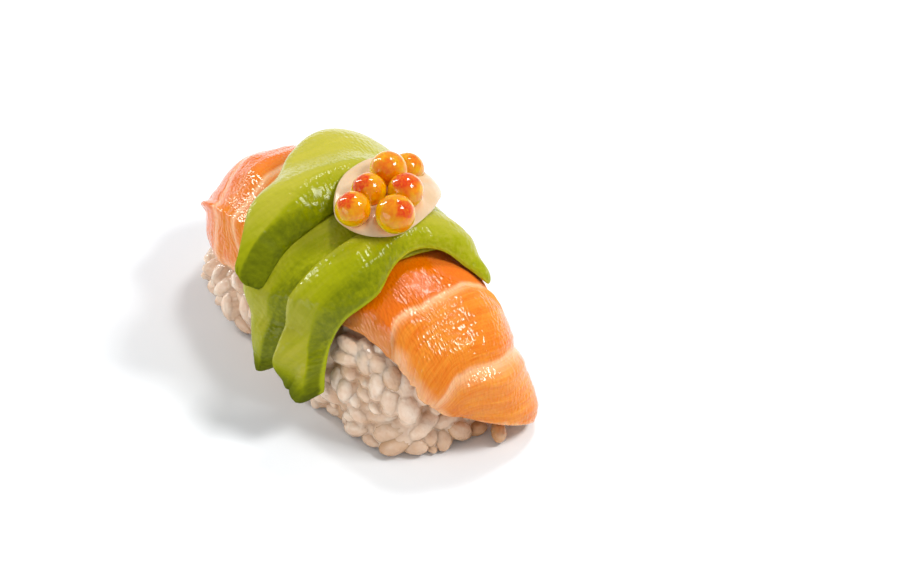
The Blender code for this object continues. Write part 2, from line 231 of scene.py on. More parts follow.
def skin(u, v):
    """The block |x/a|^n + |y/b|^n + |z/c|^n = 1 over an upright wall, lower and leaning in at the rear."""
    along, across = np.asarray(u, float) / SKIN_LENGTH, np.asarray(v, float) / SKIN_WIDTH
    reach = np.hypot(along, across)
    polar, turn = math.pi / 2 * np.minimum(reach, 1), np.arctan2(across, along)
    ball = np.stack([np.sin(polar) * np.cos(turn), np.sin(polar) * np.sin(turn), np.cos(polar)], -1)
    ball /= (np.abs(ball) ** SQUARENESS).sum(-1, keepdims=True) ** (1 / SQUARENESS)
    sides = np.array([HALF_LENGTH, HALF_WIDTH, DOME_RISE])
    point = ball * sides
    normal = np.sign(ball) * np.abs(ball) ** (SQUARENESS - 1) / sides
    normal /= np.linalg.norm(normal, axis=-1, keepdims=True)
    rear = np.clip(-point[..., 0] / HALF_LENGTH, 0, 1)
    point[..., 0] += REAR_LEAN * rear * (point[..., 2] + LEAN_DEPTH)
    point[..., 2] *= 1 - REAR_DROP * rear**1.5
    step = np.hypot(SKIN_LENGTH * np.cos(turn), SKIN_WIDTH * np.sin(turn))
    point[..., 2] += WALL_TOP - np.maximum(reach - 1, 0) * step
    return point, normal


def lifted(u, v, lift):
    """The points that far off the skin."""
    point, normal = skin(u, v)
    return point + normal * np.asarray(lift, float)[..., None]


print("crown of the rice block at", np.round(skin(0, 0)[0], 1), "mm")

# %% [markdown]
# ## Turning numbers into a mesh
#
# Each soft piece is a stack of closed rings, like the hoops of a barrel, with one point that closes each end.
# The faces follow from the order of the points, so they are worked out as one array. If the signed volume of
# the faces comes out negative, the surface is inside out and every face is turned round.


# %% Faces and objects
def ring_faces(count, around):
    """Corner numbers of the four-sided faces between the rings and of the triangles at both ends."""
    i, k = np.meshgrid(np.arange(count - 1), np.arange(around), indexing="ij")
    a, b = i * around + k, i * around + (k + 1) % around
    walls = np.stack([a, b, b + around, a + around], -1).reshape(-1, 4)
    k = np.arange(around)
    after = (k + 1) % around
    last = (count - 1) * around
    start = np.stack([np.full(around, count * around), after, k], -1)
    end = np.stack([np.full(around, count * around + 1), last + k, last + after], -1)
    return walls, np.concatenate([start, end])


def with_ends(values):
    """All rings' values in one row, with the means of the first and of the last ring added for the ends."""
    flat = values.reshape(-1, *values.shape[2:])
    return np.concatenate([flat, values[:1].mean(1), values[-1:].mean(1)])


def signed_volume(points, faces):
    """Six times the volume under the faces: positive where they face outwards."""
    a, b, c = (points[faces[:, i]] for i in range(3))
    total = np.einsum("ij,ij->", a, np.cross(b, c))
    if faces.shape[1] == 4:
        total += np.einsum("ij,ij->", a, np.cross(c, points[faces[:, 3]]))
    return total


def new_piece(name, points, face_sets, attributes, finish):
    """An object at the origin whose mesh holds the points, given in mm round the rice block's middle."""
    if sum(signed_volume(points, faces) for faces in face_sets) < 0:
        face_sets = [faces[:, ::-1] for faces in face_sets]
    mesh = bpy.data.meshes.new(name)
    corners = [face for faces in face_sets for face in faces.tolist()]
    mesh.from_pydata(((points - CENTRE) * MM).tolist(), [], corners)
    mesh.shade_smooth()
    for key, values in attributes.items():
        kind, field = ("FLOAT_VECTOR", "vector") if values.ndim == 2 else ("FLOAT", "value")
        mesh.attributes.new(key, kind, "POINT").data.foreach_set(field, values.astype(np.float32).ravel())
    mesh.materials.append(finish)
    piece = bpy.data.objects.new(name, mesh)
    bpy.context.scene.collection.objects.link(piece)
    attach(piece, "root")
    print(f"{name}: {len(points)} points, {sum(map(len, face_sets))} faces")
    return piece


def ring_piece(name, rings, attributes, finish):
    """A closed piece from rings of points, with attributes that have one value for each point of the rings."""
    shape = rings.shape[:2]
    closed = {}
    for key, values in attributes.items():
        closed[key] = with_ends(values if values.ndim == 3 else np.broadcast_to(values, shape))
    return new_piece(name, with_ends(rings), ring_faces(*shape), closed, finish)


print("faces on three closed rings of four points:", sum(map(len, ring_faces(3, 4))))

# %% [markdown]
# ## The section of a slab
#
# The fish, the fruit slices and the dollop are all slabs: a rounded rim low down, where they are widest, and a
# fuller top. Cutting one across always gives the same kind of outline, a blunt ellipse, so one function gives
# it to all of them. Rings lie closer together near the ends, because a slab rounds off there.

# %% Section
RIM = 0.35  # height of a slab's widest line, as a share of its thickness


def section(points, bluntness):
    """Across, -1 to 1, and height, 0 to 1, of a slab's section: a blunt ellipse, widest at the rim."""
    turn = np.arange(points) * 2 * math.pi / points
    across = np.sign(np.cos(turn)) * np.abs(np.cos(turn)) ** (2 / bluntness)
    level = np.sign(np.sin(turn)) * np.abs(np.sin(turn)) ** (2 / bluntness)
    return across, RIM + np.where(level > 0, 1 - RIM, RIM) * level


def upper_share(height):
    """Where relief shows: 0 up to the rim, and above it the square root of the way to the top."""
    return np.clip((height - RIM) / (1 - RIM), 0, 1) ** 0.5


def spread(start, end, count):
    """Values from start to end, closer together at both ends, where the shape rounds off."""
    t = np.linspace(0, 1, count)
    return start + (end - start) * (0.6 * t + 0.4 * (1 - np.cos(math.pi * t)) / 2)


print("first steps along a slab of 10 mm:", np.round(np.diff(spread(0, 10, 20))[:3], 2), "mm")

# %% [markdown]
# ## Helpers for finishes
#
# A finish is a small graph of nodes that ends in the Principled shader. A few short helpers keep each graph
# readable: one adds a node and feeds its inputs, and the others name the kinds of node that come back often,
# such as noise, a mix of two colours or a colour ramp.


# %% Node helpers
def tint(red, green, blue):
    """A colour as a screen shows it, 0 to 255, turned into the light values that a shader takes."""
    shown = np.array([red, green, blue]) / 255
    return (*np.where(shown < 0.04045, shown / 12.92, ((shown + 0.055) / 1.055) ** 2.4).tolist(), 1)


def new_finish(name, **uniform):
    """A material, its tree and its shader, on which the values that are the same all over are set."""
    material = bpy.data.materials.new(name)
    material.use_nodes = True
    shader = material.node_tree.nodes["Principled BSDF"]
    for key, value in uniform.items():
        shader.inputs[key.replace("_", " ")].default_value = value
    return material, material.node_tree, shader


def add(tree, kind, feeds, **settings):
    """A new node. Each named input takes a plain value or another node's socket."""
    made = tree.nodes.new("ShaderNode" + kind)
    for key, value in settings.items():
        setattr(made, key, value)
    for key, value in feeds.items():
        if isinstance(value, bpy.types.NodeSocket):
            tree.links.new(value, made.inputs[key])
        else:
            made.inputs[key].default_value = value
    return made


def attribute(tree, name, output="Fac"):
    """A value that is stored at the points of the mesh."""
    return add(tree, "Attribute", {}, attribute_name=name).outputs[output]


def object_place(tree):
    """The place on the piece, in metres."""
    return add(tree, "TexCoord", {}).outputs["Object"]


def times(tree, vector, factors):
    """The vector with each of its parts multiplied by a factor."""
    return add(tree, "VectorMath", {0: vector, 1: factors}, operation="MULTIPLY").outputs[0]


def noise(tree, vector, scale, detail=3.0, roughness=0.55):
    """Cloudy noise, for the most part between 0.3 and 0.7."""
    feeds = {"Vector": vector, "Scale": scale, "Detail": detail, "Roughness": roughness}
    return add(tree, "TexNoise", feeds).outputs["Fac"]


def number(tree, operation, a, b, clamp=False):
    """Two values joined by ADD, MULTIPLY or MAXIMUM."""
    return add(tree, "Math", {0: a, 1: b}, operation=operation, use_clamp=clamp).outputs[0]


def remap(tree, value, low, high, to_low=0.0, to_high=1.0):
    """The value moved from the range low to high into the other range, and held at its ends."""
    feeds = {"Value": value, "From Min": low, "From Max": high, "To Min": to_low, "To Max": to_high}
    return add(tree, "MapRange", feeds, clamp=True).outputs["Result"]


def blend_colours(tree, factor, a, b):
    """Colour a where the factor is 0, and b where it is 1."""
    return add(tree, "Mix", {0: factor, 6: a, 7: b}, data_type="RGBA").outputs[2]


def ramp(tree, factor, stops):
    """A colour ramp through (place, colour) stops."""
    made = add(tree, "ValToRGB", {"Fac": factor})
    elements = made.color_ramp.elements
    for place, _ in stops[1:-1]:
        elements.new(place)
    for element, (place, colour) in zip(elements, stops):
        element.position, element.color = place, colour
    return made.outputs["Color"]


def bump(tree, shader, layers):
    """Bumps laid over each other: (height socket, depth in mm) for each."""
    normal = None
    for height, depth in layers:
        feeds = {"Height": height, "Distance": depth * MM, "Strength": 1.0}
        if normal:
            feeds["Normal"] = normal
        normal = add(tree, "Bump", feeds).outputs["Normal"]
    tree.links.new(normal, shader.inputs["Normal"])


print("an orange of 255, 128, 0 on the screen is light of", np.round(tint(255, 128, 0)[:3], 2))

# %% [markdown]
# ## Salmon: the slice
#
# The slice is cut across the grain, so white sheets of fat cross it every centimetre or so, with fine fibres
# between them. It is thick over the front of the block and thin at the rear, and its tip stands off the rice.
# A plain slab would look like plastic. So the fat lines are curves in u and v, each point of the mesh stores
# how near it is to one, and a stored flow coordinate lets the fibres follow the lines round.

# %% Salmon: outline and thickness
GAP = 0.3  # between the solids' layers, which the real pieces close
SALMON_U = (-36.0, -30.0, -20.0, -9.0, 4.0, 14.0, 21.0, 32.0, 37.0, 39.4)
SALMON_NEAR = (-8.0, -14.0, -18.2, -18.4, -15.0, -10.2, -7.8, -5.8, -2.3, 3.5)
SALMON_FAR = (8.0, 12.0, 14.5, 15.5, 16.0, 17.5, 18.0, 18.5, 17.4, 15.0)
SALMON_THICK, SALMON_THIN_END = 3.5, 1.3
TIP_FLARE = 5.2


def salmon_edges(u):
    """v of the near and of the far edge."""
    return spline(u, SALMON_U, SALMON_NEAR), spline(u, SALMON_U, SALMON_FAR)


def salmon_under(u, v):
    """Lift of the lower face: it lies on the rice, but for the tip, which rises off it."""
    return GAP + TIP_FLARE * ease(u, 20, 41) * ease(v, 0, 19)


def salmon_thick(u):
    """Thin at the rear end, full from a third of the length on."""
    return SALMON_THIN_END + (SALMON_THICK - SALMON_THIN_END) * ease(u, -37, -12)


print("salmon over the crown, from v =", *np.round(salmon_edges(0.0), 1), "and", salmon_thick(0.0), "mm thick")

# %% Salmon: fat lines and the flow of the fibres
FAT_LINES = (  # v stations, u stations, sharp side, soft side, strength
    ((-18, -13.5, -12.2, -6.5, -2, 6, 16), (-13.5, -15.2, -16.4, -21, -22.5, -23, -21), 0.4, 0.9, 0.7),
    ((-18, -14.9, -12.9, -8, -4.3, 4, 16), (-4.5, -7.0, -10.5, -12, -13.7, -15, -13), 0.3, 0.9, 0.95),
    ((-18, -8, 0, 8, 16), (5.0, 4.0, 3.5, 3.0, 3.5), 0.5, 1.0, 0.8),
    (
        (-9.5, -7.9, -6.5, -4.8, -2.7, 1, 4.8, 8.5, 14, 19),
        (24.5, 21.2, 19.2, 17.6, 17.2, 17.3, 16.5, 15.8, 15.9, 16.6), 0.25, 0.75, 1.0,
    ),
    (
        (-7, -5.2, -2.8, -0.5, 3, 8.4, 12.4, 19),
        (35.5, 32.7, 30.8, 29.0, 28.0, 27.3, 25.8, 24.0), 0.45, 1.7, 0.85,
    ),
)
JOINT, TIP_LINE = FAT_LINES[3][:2], FAT_LINES[4][:2]  # where the thick lobe starts, and where it ends


def fat_lines(u, v):
    """How much fat shows, 0 to 1: a bell curve round each line, sharp towards -u and soft towards +u."""
    most = np.zeros_like(u)
    for v_stations, u_stations, sharp, soft, strength in FAT_LINES:
        off = u - spline(v, v_stations, u_stations) - 0.2 * ripple(v / 1.3, u / 9, 7)
        most = np.maximum(most, strength * ridge(off, np.where(off < 0, sharp, soft)))
    return most


def fibre_flow(u, v):
    """u bent so that it keeps one value along each fat line: between two lines it runs evenly."""
    lines = [spline(v, v_stations, u_stations) for v_stations, u_stations, *_ in FAT_LINES]
    rest = [float(spline(0.0, v_stations, u_stations)) for v_stations, u_stations, *_ in FAT_LINES]
    flow = u - lines[0] + rest[0]
    for i in range(len(lines) - 1):
        share = (u - lines[i]) / (lines[i + 1] - lines[i])
        flow = np.where(u > lines[i], rest[i] + share * (rest[i + 1] - rest[i]), flow)
    return np.where(u > lines[-1], u - lines[-1] + rest[-1], flow)


print("fat lines cross the crown's line at u =", [round(float(spline(0.0, *row[:2])), 1) for row in FAT_LINES])

# %% [markdown]
# ## Salmon: the finish
#
# The flesh is orange with light passing a little way into it, and it is wet. The film of water is smooth, but
# it lies over fibres, so its highlight breaks into many short glints: a fine bump stretched along the fibres
# does that. Where the slice turns away under the fruit, stored roughness takes the gloss off, because a
# grazing view would fill the shade with a pale mirror of the table.

# %% Salmon: finish
LEAN_SHADE, LEAN_LIGHT, DEEP_ORANGE = tint(214, 102, 0), tint(231, 150, 44), tint(219, 106, 0)
FAT_CREAM, THIN_PEACH = tint(240, 186, 138), tint(226, 142, 76)
salmon_finish, tree, shader = new_finish(
    "salmon_flesh", Roughness=0.06, IOR=1.43, Specular_IOR_Level=0.5, Subsurface_Weight=0.25,
    Subsurface_Radius=(1.0, 0.35, 0.1), Subsurface_Scale=0.002,
)
flow = attribute(tree, "flow", "Vector")
fibres = noise(tree, times(tree, flow, (1.9, 0.16, 0.3)), 1.0, 4.0, 0.6)
threads = noise(tree, times(tree, flow, (3.6, 0.22, 0.5)), 1.0, 2.0)
cloud = noise(tree, flow, 0.2, 2.0)
mixed = number(tree, "ADD", remap(tree, fibres, 0.3, 0.7, 0.0, 0.4), remap(tree, cloud, 0.3, 0.7, 0, 0.3))
mixed = number(tree, "ADD", mixed, remap(tree, threads, 0.3, 0.7, 0.0, 0.3))
lean = ramp(tree, mixed, ((0.1, LEAN_SHADE), (0.9, LEAN_LIGHT)))
deep_lean = blend_colours(tree, attribute(tree, "deep"), lean, DEEP_ORANGE)
fat = number(tree, "MULTIPLY", attribute(tree, "fat"), remap(tree, threads, 0.3, 0.7, 0.65, 1.1), clamp=True)
marbled = blend_colours(tree, fat, deep_lean, FAT_CREAM)
tree.links.new(blend_colours(tree, attribute(tree, "thin"), marbled, THIN_PEACH), shader.inputs["Base Color"])
wet = noise(tree, times(tree, flow, (1.5, 2.6, 2.0)), 1.0, 0.0)
bump(tree, shader, ((fibres, 0.06), (threads, 0.02), (wet, 0.14)))
gloss = remap(tree, cloud, 0.35, 0.65, 0.04, 0.06)
tree.links.new(number(tree, "MAXIMUM", gloss, attribute(tree, "dull")), shader.inputs["Roughness"])
print("salmon_flesh:", len(tree.nodes), "nodes")

# %% [markdown]
# ## Salmon: the mesh
#
# The slice could be a flat sheet with a thickness modifier, but then its edges would be square. As a stack
# of rings its rim is round, and its top can swell between the fat lines: a plump lobe towards the front, and
# a lower, wavier end at the rear. The grid comes first, then what each point stores, the relief and the mesh.

# %% Salmon: grid
SALMON_RINGS, SALMON_AROUND, SALMON_BLUNTNESS = 320, 240, 2.6
END_STEP = 0.03  # how far from the slice's ends the first and the last ring lie
REAR_ROUND, TIP_ROUND = 3, 0.7  # how far from each end the slice rounds off
u = spread(SALMON_U[0] + END_STEP, SALMON_U[-1] - END_STEP, SALMON_RINGS)[:, None]
across, height = section(SALMON_AROUND, SALMON_BLUNTNESS)
near, far = salmon_edges(u)
round_end = cap(u - SALMON_U[0], REAR_ROUND) * cap(SALMON_U[-1] - u, TIP_ROUND)
edge_wave = 0.3 * ripple(u / 2.3, 0 * u, 3) + 0.2 * ripple(u / 0.8, 0 * u, 4)
v = (near + far) / 2 + ((far - near) / 2 + edge_wave * np.abs(across) ** 3) * round_end * across
u = u + 0 * v
joint, tip_line = spline(v, *JOINT), spline(v, *TIP_LINE)
beyond = u - joint
lobe = ease(beyond, -0.7, 0.9)
print("salmon grid:", v.shape, "and", f"{lobe.mean():.0%} of it is the thick lobe")

# %% Salmon: fat, thin edge and shade
SHADE_U, SHADE_V, SHADE_SLOPE = 11.3, 5, 0.75  # the front slice's edge, where its shade on the salmon starts
flow_u = fibre_flow(u, v)
fat_share = fat_lines(u, v)
from_near = v - near - 0.5 * ripple(u / 1.7, v / 2, 5)
to_tip = SALMON_U[-1] - u - 0.4 * ripple(v / 0.9, u / 2, 6)
fringe = (1 - ease(from_near, 0.3, 2.4)) * np.where(u > 12, lobe, 1)  # pale along the near edge,
fringe = np.maximum(fringe, 0.2 * (1 - ease(far - v, 0.4, 2.0)))  # a little along the far one,
fringe = fringe * (1 - 0.75 * ease(-u, 8, 18))  # less at the rear,
fringe = np.maximum(fringe, 1 - ease(to_tip, 0.2, 1.4))  # and round the tip
see_through = (1 - lobe) * (1 - ease(from_near, 0.2, 3.6)) * ease(u, 4, 9)
deep = np.maximum((1 - lobe) * ease(u, 7, 12) * (1 - see_through), ease(-u, 12, 19))
shaded = ease(v, 4.5, 7) * (1 - ease(u - SHADE_U - SHADE_SLOPE * (v - SHADE_V), 1.2, 3.0))
dull = 0.9 * np.maximum(ease(v, 10, 13) * (1 - ease(u, 17, 21)), shaded)
print(f"fat shows on {fat_share.mean():.0%} of the slice, rice shines through {see_through.mean():.0%}")

# %% Salmon: relief
TIP_CROWN, REAR_CREST, REAR_DIP = 35, -22.5, -21  # u of the tip's swell and of the rear's crest and dip
pillow = np.clip(beyond / (tip_line - joint), 0, 1)
relief = 0.5 * np.sin(math.pi * pillow) ** 0.8 + 0.35 * ridge(u - TIP_CROWN, 5)  # a plump lobe and tip
relief += 0.05 * lobe * (np.clip(v, -6, 9) - 2) * ease(u, 12, 18)  # higher on the far side
relief += 0.3 * lobe * (1 - ease(v, -7, 2)) * ridge(np.maximum(beyond - 1, 0), 4)  # a full near corner
relief += 1.15 * ridge(u - REAR_CREST, 7) * (1 - ease(-v, 11.8, 12.6)) * (1 - ease(v, 3, 10))
relief -= 1.7 * ridge(u - REAR_DIP, 6.5) * ease(-v, 4, 9) * (1 - ease(-v, 10.7, 11.9))
relief -= 0.7 * ridge(u - REAR_DIP, 7) * ease(-v, 11.8, 14.5)
relief += 0.5 * ridge(u - tip_line - 2.6, 2.1) * ease(v, -3, 2)  # a swell past the last fat line
relief -= 0.12 * fat_share  # fat lies a little lower than flesh
relief += 0.06 * ripple(flow_u / 0.5, v / 7, 11) + 0.14 * ripple(flow_u / 2.2, v / 6, 12)  # fibres
relief += 0.3 * ripple(u / 4 + 9, v / 2.5 + 5, 13) * (1 - ease(u, -14, -8))  # a softer, wavier rear
print(f"relief from {relief.min():.1f} to {relief.max():.1f} mm")

# %% Salmon: mesh
lower = salmon_under(u, v) - GAP
thick = (salmon_thick(u) + GAP) * (0.2 + 0.8 * round_end) * (1 - 0.6 * see_through)
over = upper_share(height) * round_end
salmon_rings = lifted(u, v, lower + thick * height + relief * (1 - 0.8 * see_through) * over)
salmon = ring_piece("salmon_slice", salmon_rings, {
    "flow": np.stack([flow_u, v, height * 4 + 0 * u], -1),
    "fat": np.clip(np.maximum(fat_share, 0.8 * fringe), 0, 1),
    "deep": deep,
    "thin": 0.85 * see_through,
    "dull": dull,
}, salmon_finish)
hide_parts("salmon")

# %% [markdown]
# ## Avocado: how the slices lie
#
# Each slice is a wedge cut out of half a fruit. The middle slice lies on the salmon, and the rear and the
# front slice lie over its edges. A slice is a slab whose two edges are curves of v. What lies under it is a
# function too, a cover: the lift that clears everything below, with a ramp where an edge has to be climbed.
# So a slice that crosses another one bends over it by itself.

# %% Avocado: outlines
REAR = (  # v stations, u of the rear edge, u of the front edge
    (-14.9, -12.6, -10.0, -6.0, -2.0, 3.0, 8.0, 12.5, 16.0),
    (2.6, -0.2, -4.0, -7.8, -11.4, -13.8, -15.0, -14.8, -13.0),
    (4.2, 3.5, 2.8, 2.4, 1.9, 1.6, -0.5, -4.0, -9.0),
)
MIDDLE = (
    (-26.0, -23.0, -18.0, -14.0, -6.0, 2.0, 8.0, 14.2),
    (8.2, 5.6, 1.5, -1.5, -1.5, -1.5, -0.6, 2.4),
    (10.0, 11.2, 11.6, 11.4, 11.2, 10.8, 10.4, 8.6),
)
FRONT = (
    (-22.4, -20.0, -17.5, -14.0, -10.0, -5.0, 0.0, 5.0, 9.5, 13.4),
    (14.4, 12.9, 11.0, 8.9, 7.8, 7.3, 6.9, 6.0, 6.6, 11.2),
    (21.4, 19.8, 17.4, 14.6, 14.2, 13.9, 11.8, 11.3, 13.2, 17.6),
)
REAR_THICK, MIDDLE_THICK, FRONT_THICK = 5.7, 2.7, 3.0
REAR_LEAN_OFF, MIDDLE_LEAN_OFF, FRONT_LEAN_OFF = 0.7, 0.5, 0.3  # thinning from rear edge to front edge
FAR_THINNING, HANG_EXTRA = 0.45, 1.9  # share lost at the far end, mm gained at the hanging end
RAMP_BACK, RAMP_FRONT = 6.5, 3.5
WALL_CLEAR, EDGE_CLEAR = 1.6, 3.5  # lift off the bare wall of rice, and how far off the salmon it starts


def salmon_cover(u, v):
    """Lift that clears the salmon, and clears the rice beyond its edges."""
    near, far = salmon_edges(u)
    on = ease(v, near - EDGE_CLEAR, near + 0.5) * ease(-v, -far - EDGE_CLEAR, -far + 0.5)
    return WALL_CLEAR + (GAP + salmon_thick(u) + GAP - WALL_CLEAR) * on


def slice_thick(v, top):
    """Thickness at the rear edge: more where the slice hangs, less towards its far end."""
    return top * (1 - FAR_THINNING * ease(v, 3, 14)) + HANG_EXTRA * ease(-v, 13, 20)


def slice_cover(u, v, under, outline, top, thinning, ramps=(RAMP_BACK, RAMP_FRONT)):
    """Lift that clears a slice lying at the lift under, with a ramp before each of its edges."""
    stations, backs, fronts = outline
    back_edge, front_edge = spline(v, stations, backs), spline(v, stations, fronts)
    place = np.clip((u - back_edge) / (front_edge - back_edge), 0, 1)
    thick = slice_thick(v, top) * (1 - thinning * place)
    on = ease(u, back_edge - ramps[0], back_edge - 0.3) * ease(-u, -front_edge - ramps[1], -front_edge - 0.3)
    on = on * ease(v, stations[0] - 2, stations[0]) * ease(-v, -stations[-1] - 2, -stations[-1])
    return under + (thick + GAP) * on


def middle_cover(u, v):
    """Lift that clears the salmon and the middle slice."""
    return slice_cover(u, v, salmon_cover(u, v), MIDDLE, MIDDLE_THICK, MIDDLE_LEAN_OFF)


def avocado_cover(u, v, ramps=(RAMP_BACK, RAMP_FRONT)):
    """Lift that clears all three slices: the rear and the front one both lie on the middle one."""
    under = middle_cover(u, v)
    return np.maximum(
        slice_cover(u, v, under, REAR, REAR_THICK, REAR_LEAN_OFF, ramps),
        slice_cover(u, v, under, FRONT, FRONT_THICK, FRONT_LEAN_OFF, ramps),
    )


print("lift at the crown, over salmon and over fruit:", salmon_cover(0, 0), avocado_cover(0, 0).round(1))

# %% [markdown]
# ## Avocado: the finish
#
# The flesh by the stone is pale yellow, and it gets greener towards the skin, where the outer face of the
# wedge is dark green and blotched. The tone is stored at each point, since it follows the wedge and not
# space. The flesh is oily, so it shines softly, but a torn end is matt.

# %% Avocado: finish
BY_THE_STONE, HALF_WAY = tint(202, 187, 84), tint(148, 152, 4)
BY_THE_SKIN, UNDER_THE_SKIN, EDGE_HIGHLIGHT = tint(112, 120, 0), tint(78, 86, 0), tint(178, 188, 30)
avocado_finish, tree, shader = new_finish(
    "avocado_flesh", Roughness=0.2, IOR=1.4, Subsurface_Weight=0.12, Subsurface_Radius=(0.9, 0.9, 0.1),
    Subsurface_Scale=0.001, Specular_IOR_Level=0.2,
)
flow = attribute(tree, "flow", "Vector")
streaks = noise(tree, times(tree, flow, (1.5, 0.3, 0.5)), 1.0, 4.0)
mottle = noise(tree, times(tree, flow, (2.2, 1.6, 1.6)), 1.0, 4.0, 0.65)
tone = number(tree, "ADD", attribute(tree, "tone"), remap(tree, streaks, 0.3, 0.7, -0.05, 0.05))
blotch = number(tree, "MULTIPLY", attribute(tree, "outer"), remap(tree, mottle, 0.35, 0.7, -0.05, 0.12))
tone = number(tree, "ADD", tone, blotch, clamp=True)
flesh = ramp(tree, tone, ((0.0, BY_THE_STONE), (0.5, HALF_WAY), (0.72, BY_THE_SKIN), (0.95, UNDER_THE_SKIN)))
# the edge attribute is a painted highlight: a bright line along the front edge's corner
tree.links.new(blend_colours(tree, attribute(tree, "edge"), flesh, EDGE_HIGHLIGHT), shader.inputs["Base Color"])
pores = noise(tree, times(tree, flow, (2.6, 1.3, 2.0)), 1.0, 1.0)
wet = noise(tree, times(tree, flow, (1.4, 2.4, 2.0)), 1.0, 0.0)
bump(tree, shader, ((streaks, 0.04), (pores, 0.05), (wet, 0.11)))
gloss = remap(tree, mottle, 0.35, 0.65, 0.08, 0.2)
tree.links.new(number(tree, "MAXIMUM", gloss, attribute(tree, "torn")), shader.inputs["Roughness"])
print("avocado_flesh:", len(tree.nodes), "nodes")

# %% [markdown]
# ## Avocado: one function for three slices
#
# All slices are the same kind of wedge, so one function makes them. Each call gives the numbers that differ:
# where the outer face bends away along its ridge, how high the wedge stands there, the tones along the slice,
# and the ragged line of the hanging end. The front slice also has two short cuts in its end.

# %% Avocado: wedge and cuts
SLICE_RINGS, SLICE_AROUND, SLICE_BLUNTNESS = 200, 140, 2.7
GATHER = 0.3  # where across the slice, -1 to 1, the rings close at the hanging end
CREASE_WIDTH = 0.3


def wedge_height(across, bend_at, soft, at_bend, at_front):
    """Height of a wedge, 1 at the rear edge: one line down to the bend, a steeper one from there. The lower
    of the two counts, and the corner between them is rounded."""
    inner = 1 + (at_bend - 1) * (across + 1) / (bend_at + 1)
    outer = at_bend + (at_front - at_bend) * (across - bend_at) / (1 - bend_at)
    gap = (inner - outer) / (0.25 * soft + 0.02)
    blend = 1 / (1 + np.exp(-np.clip(gap, -30, 30)))
    return inner + (outer - inner) * blend


def crease_depth(u, v, creases):
    """Depth of straight cuts from one (u, v) to another: a bell curve across each, deepest halfway along it."""
    total = 0 * u
    for (u_from, v_from), (u_to, v_to), depth in creases:
        u_way, v_way = u_to - u_from, v_to - v_from
        share = np.clip(((u - u_from) * u_way + (v - v_from) * v_way) / (u_way**2 + v_way**2), 0, 1)
        off = np.hypot(u - u_from - share * u_way, v - v_from - share * v_way)
        total = total + depth * ridge(off, CREASE_WIDTH) * np.sin(math.pi * (0.15 + 0.7 * share))
    return total


print("a wedge's height from edge to edge:", np.round(wedge_height(np.linspace(-1, 1, 5), 0, 0.1, 0.9, 0.5), 2))


# %% Avocado: a slice
def avocado_slice(name, outline, top, under, bend, wedge, tones, end, rim, seed, creases=()):
    """A slab between the two edge curves. bend gives, for v stations, where the outer face starts (-1 rear
    edge, 1 front edge) and how soft the change is; wedge the height at the bend and at the front edge; tones
    the tone at the rear edge, before the bend and after it; end how far the hanging end is from its station,
    across it; rim how bright the painted highlight along the front edge is; creases the two ends of each cut
    and its depth."""
    stations, backs, fronts = outline
    t = spread(0.0005, 0.9995, SLICE_RINGS)[:, None]
    across, height = section(SLICE_AROUND, SLICE_BLUNTNESS)
    across = GATHER + (across - GATHER) * cap((stations[-1] - stations[0]) * t, 0.7)
    start = stations[0] + spline(across, *end) + 0.12 * ripple(across * 7 + 9, 0 * across, seed)
    v = start + (stations[-1] - start) * t
    back_edge, front_edge = spline(v, stations, backs), spline(v, stations, fronts)
    round_end = cap(v - start, 1.2) * cap(stations[-1] - v, 3)
    width = (0.8 + 0.2 * cap(v - start, 1.5)) * cap(stations[-1] - v, 3)
    wave = 0.08 * ripple(v / 2.6, np.sign(across) * 3 + 0 * v, seed + 2)
    half = (front_edge - back_edge) / 2
    u = (back_edge + front_edge) / 2 + half * width * across + wave * np.abs(across) ** 3
    bend_at, soft = (spline(v, bend[0], row) for row in bend[1:])
    profile = wedge_height(across, bend_at, soft, *(spline(v, wedge[0], row) for row in wedge[1:]))
    relief = 0.06 * ripple(u / 1.1, v / 4, seed + 3) + 0.03 * ripple(u / 0.4, v / 2.5, seed + 4)
    relief = relief - crease_depth(u, v, creases)
    over = upper_share(height) * round_end
    lower = under(u, v) - GAP
    thick = slice_thick(v, top) * (0.2 + 0.8 * round_end) * profile + GAP
    outer = ease(across - bend_at, -soft, soft)
    rear_tone, mid_tone, outer_tone = (spline(v, tones[0], row) for row in tones[1:])
    inner_share = np.clip((across + 1) / (bend_at + 1), 0, 1)
    tone = (rear_tone + (mid_tone - rear_tone) * inner_share) * (1 - outer) + outer_tone * outer
    # painted highlight: a bright line along the front edge's corner
    edge = rim * ridge(1 - across, 0.03) * (height > 0.25) * (height < 0.9)
    piece = ring_piece(name, lifted(u, v, lower + thick * height + relief * over), {
        "flow": np.stack([u, v, height * 3 + 0 * u], -1), "tone": tone, "outer": outer, "edge": edge + 0 * u,
        "torn": 0.9 * (1 - ease(v - start, 3.0, 5.0)),
    }, avocado_finish)
    return piece


slice_middle = avocado_slice(
    "avocado_slice_middle", MIDDLE, MIDDLE_THICK, salmon_cover, rim=0.3, seed=21,
    bend=(
        (-26.5, -18.7, -15.4, -12.4, -8.7, 0, 13),
        (0.1, 0.17, 0.07, 0.1, 0.0, 0.0, 0.0),
        (0.08, 0.08, 0.08, 0.2, 0.4, 0.6, 0.6),
    ),
    wedge=((-26.5, -10, 13), (0.95, 0.92, 0.9), (0.45, 0.5, 0.5)),
    tones=(
        (-26.5, -23.5, -21.5, -18, -12, -6, 13),
        (0.88, 0.84, 0.56, 0.38, 0.42, 0.4, 0.4),
        (0.88, 0.82, 0.54, 0.38, 0.44, 0.42, 0.4),
        (0.88, 0.84, 0.76, 0.66, 0.58, 0.48, 0.45),
    ),
    end=((-1, 0.0, 0.5, 1), (0.0, 0.0, 0.8, 4.0)),
)

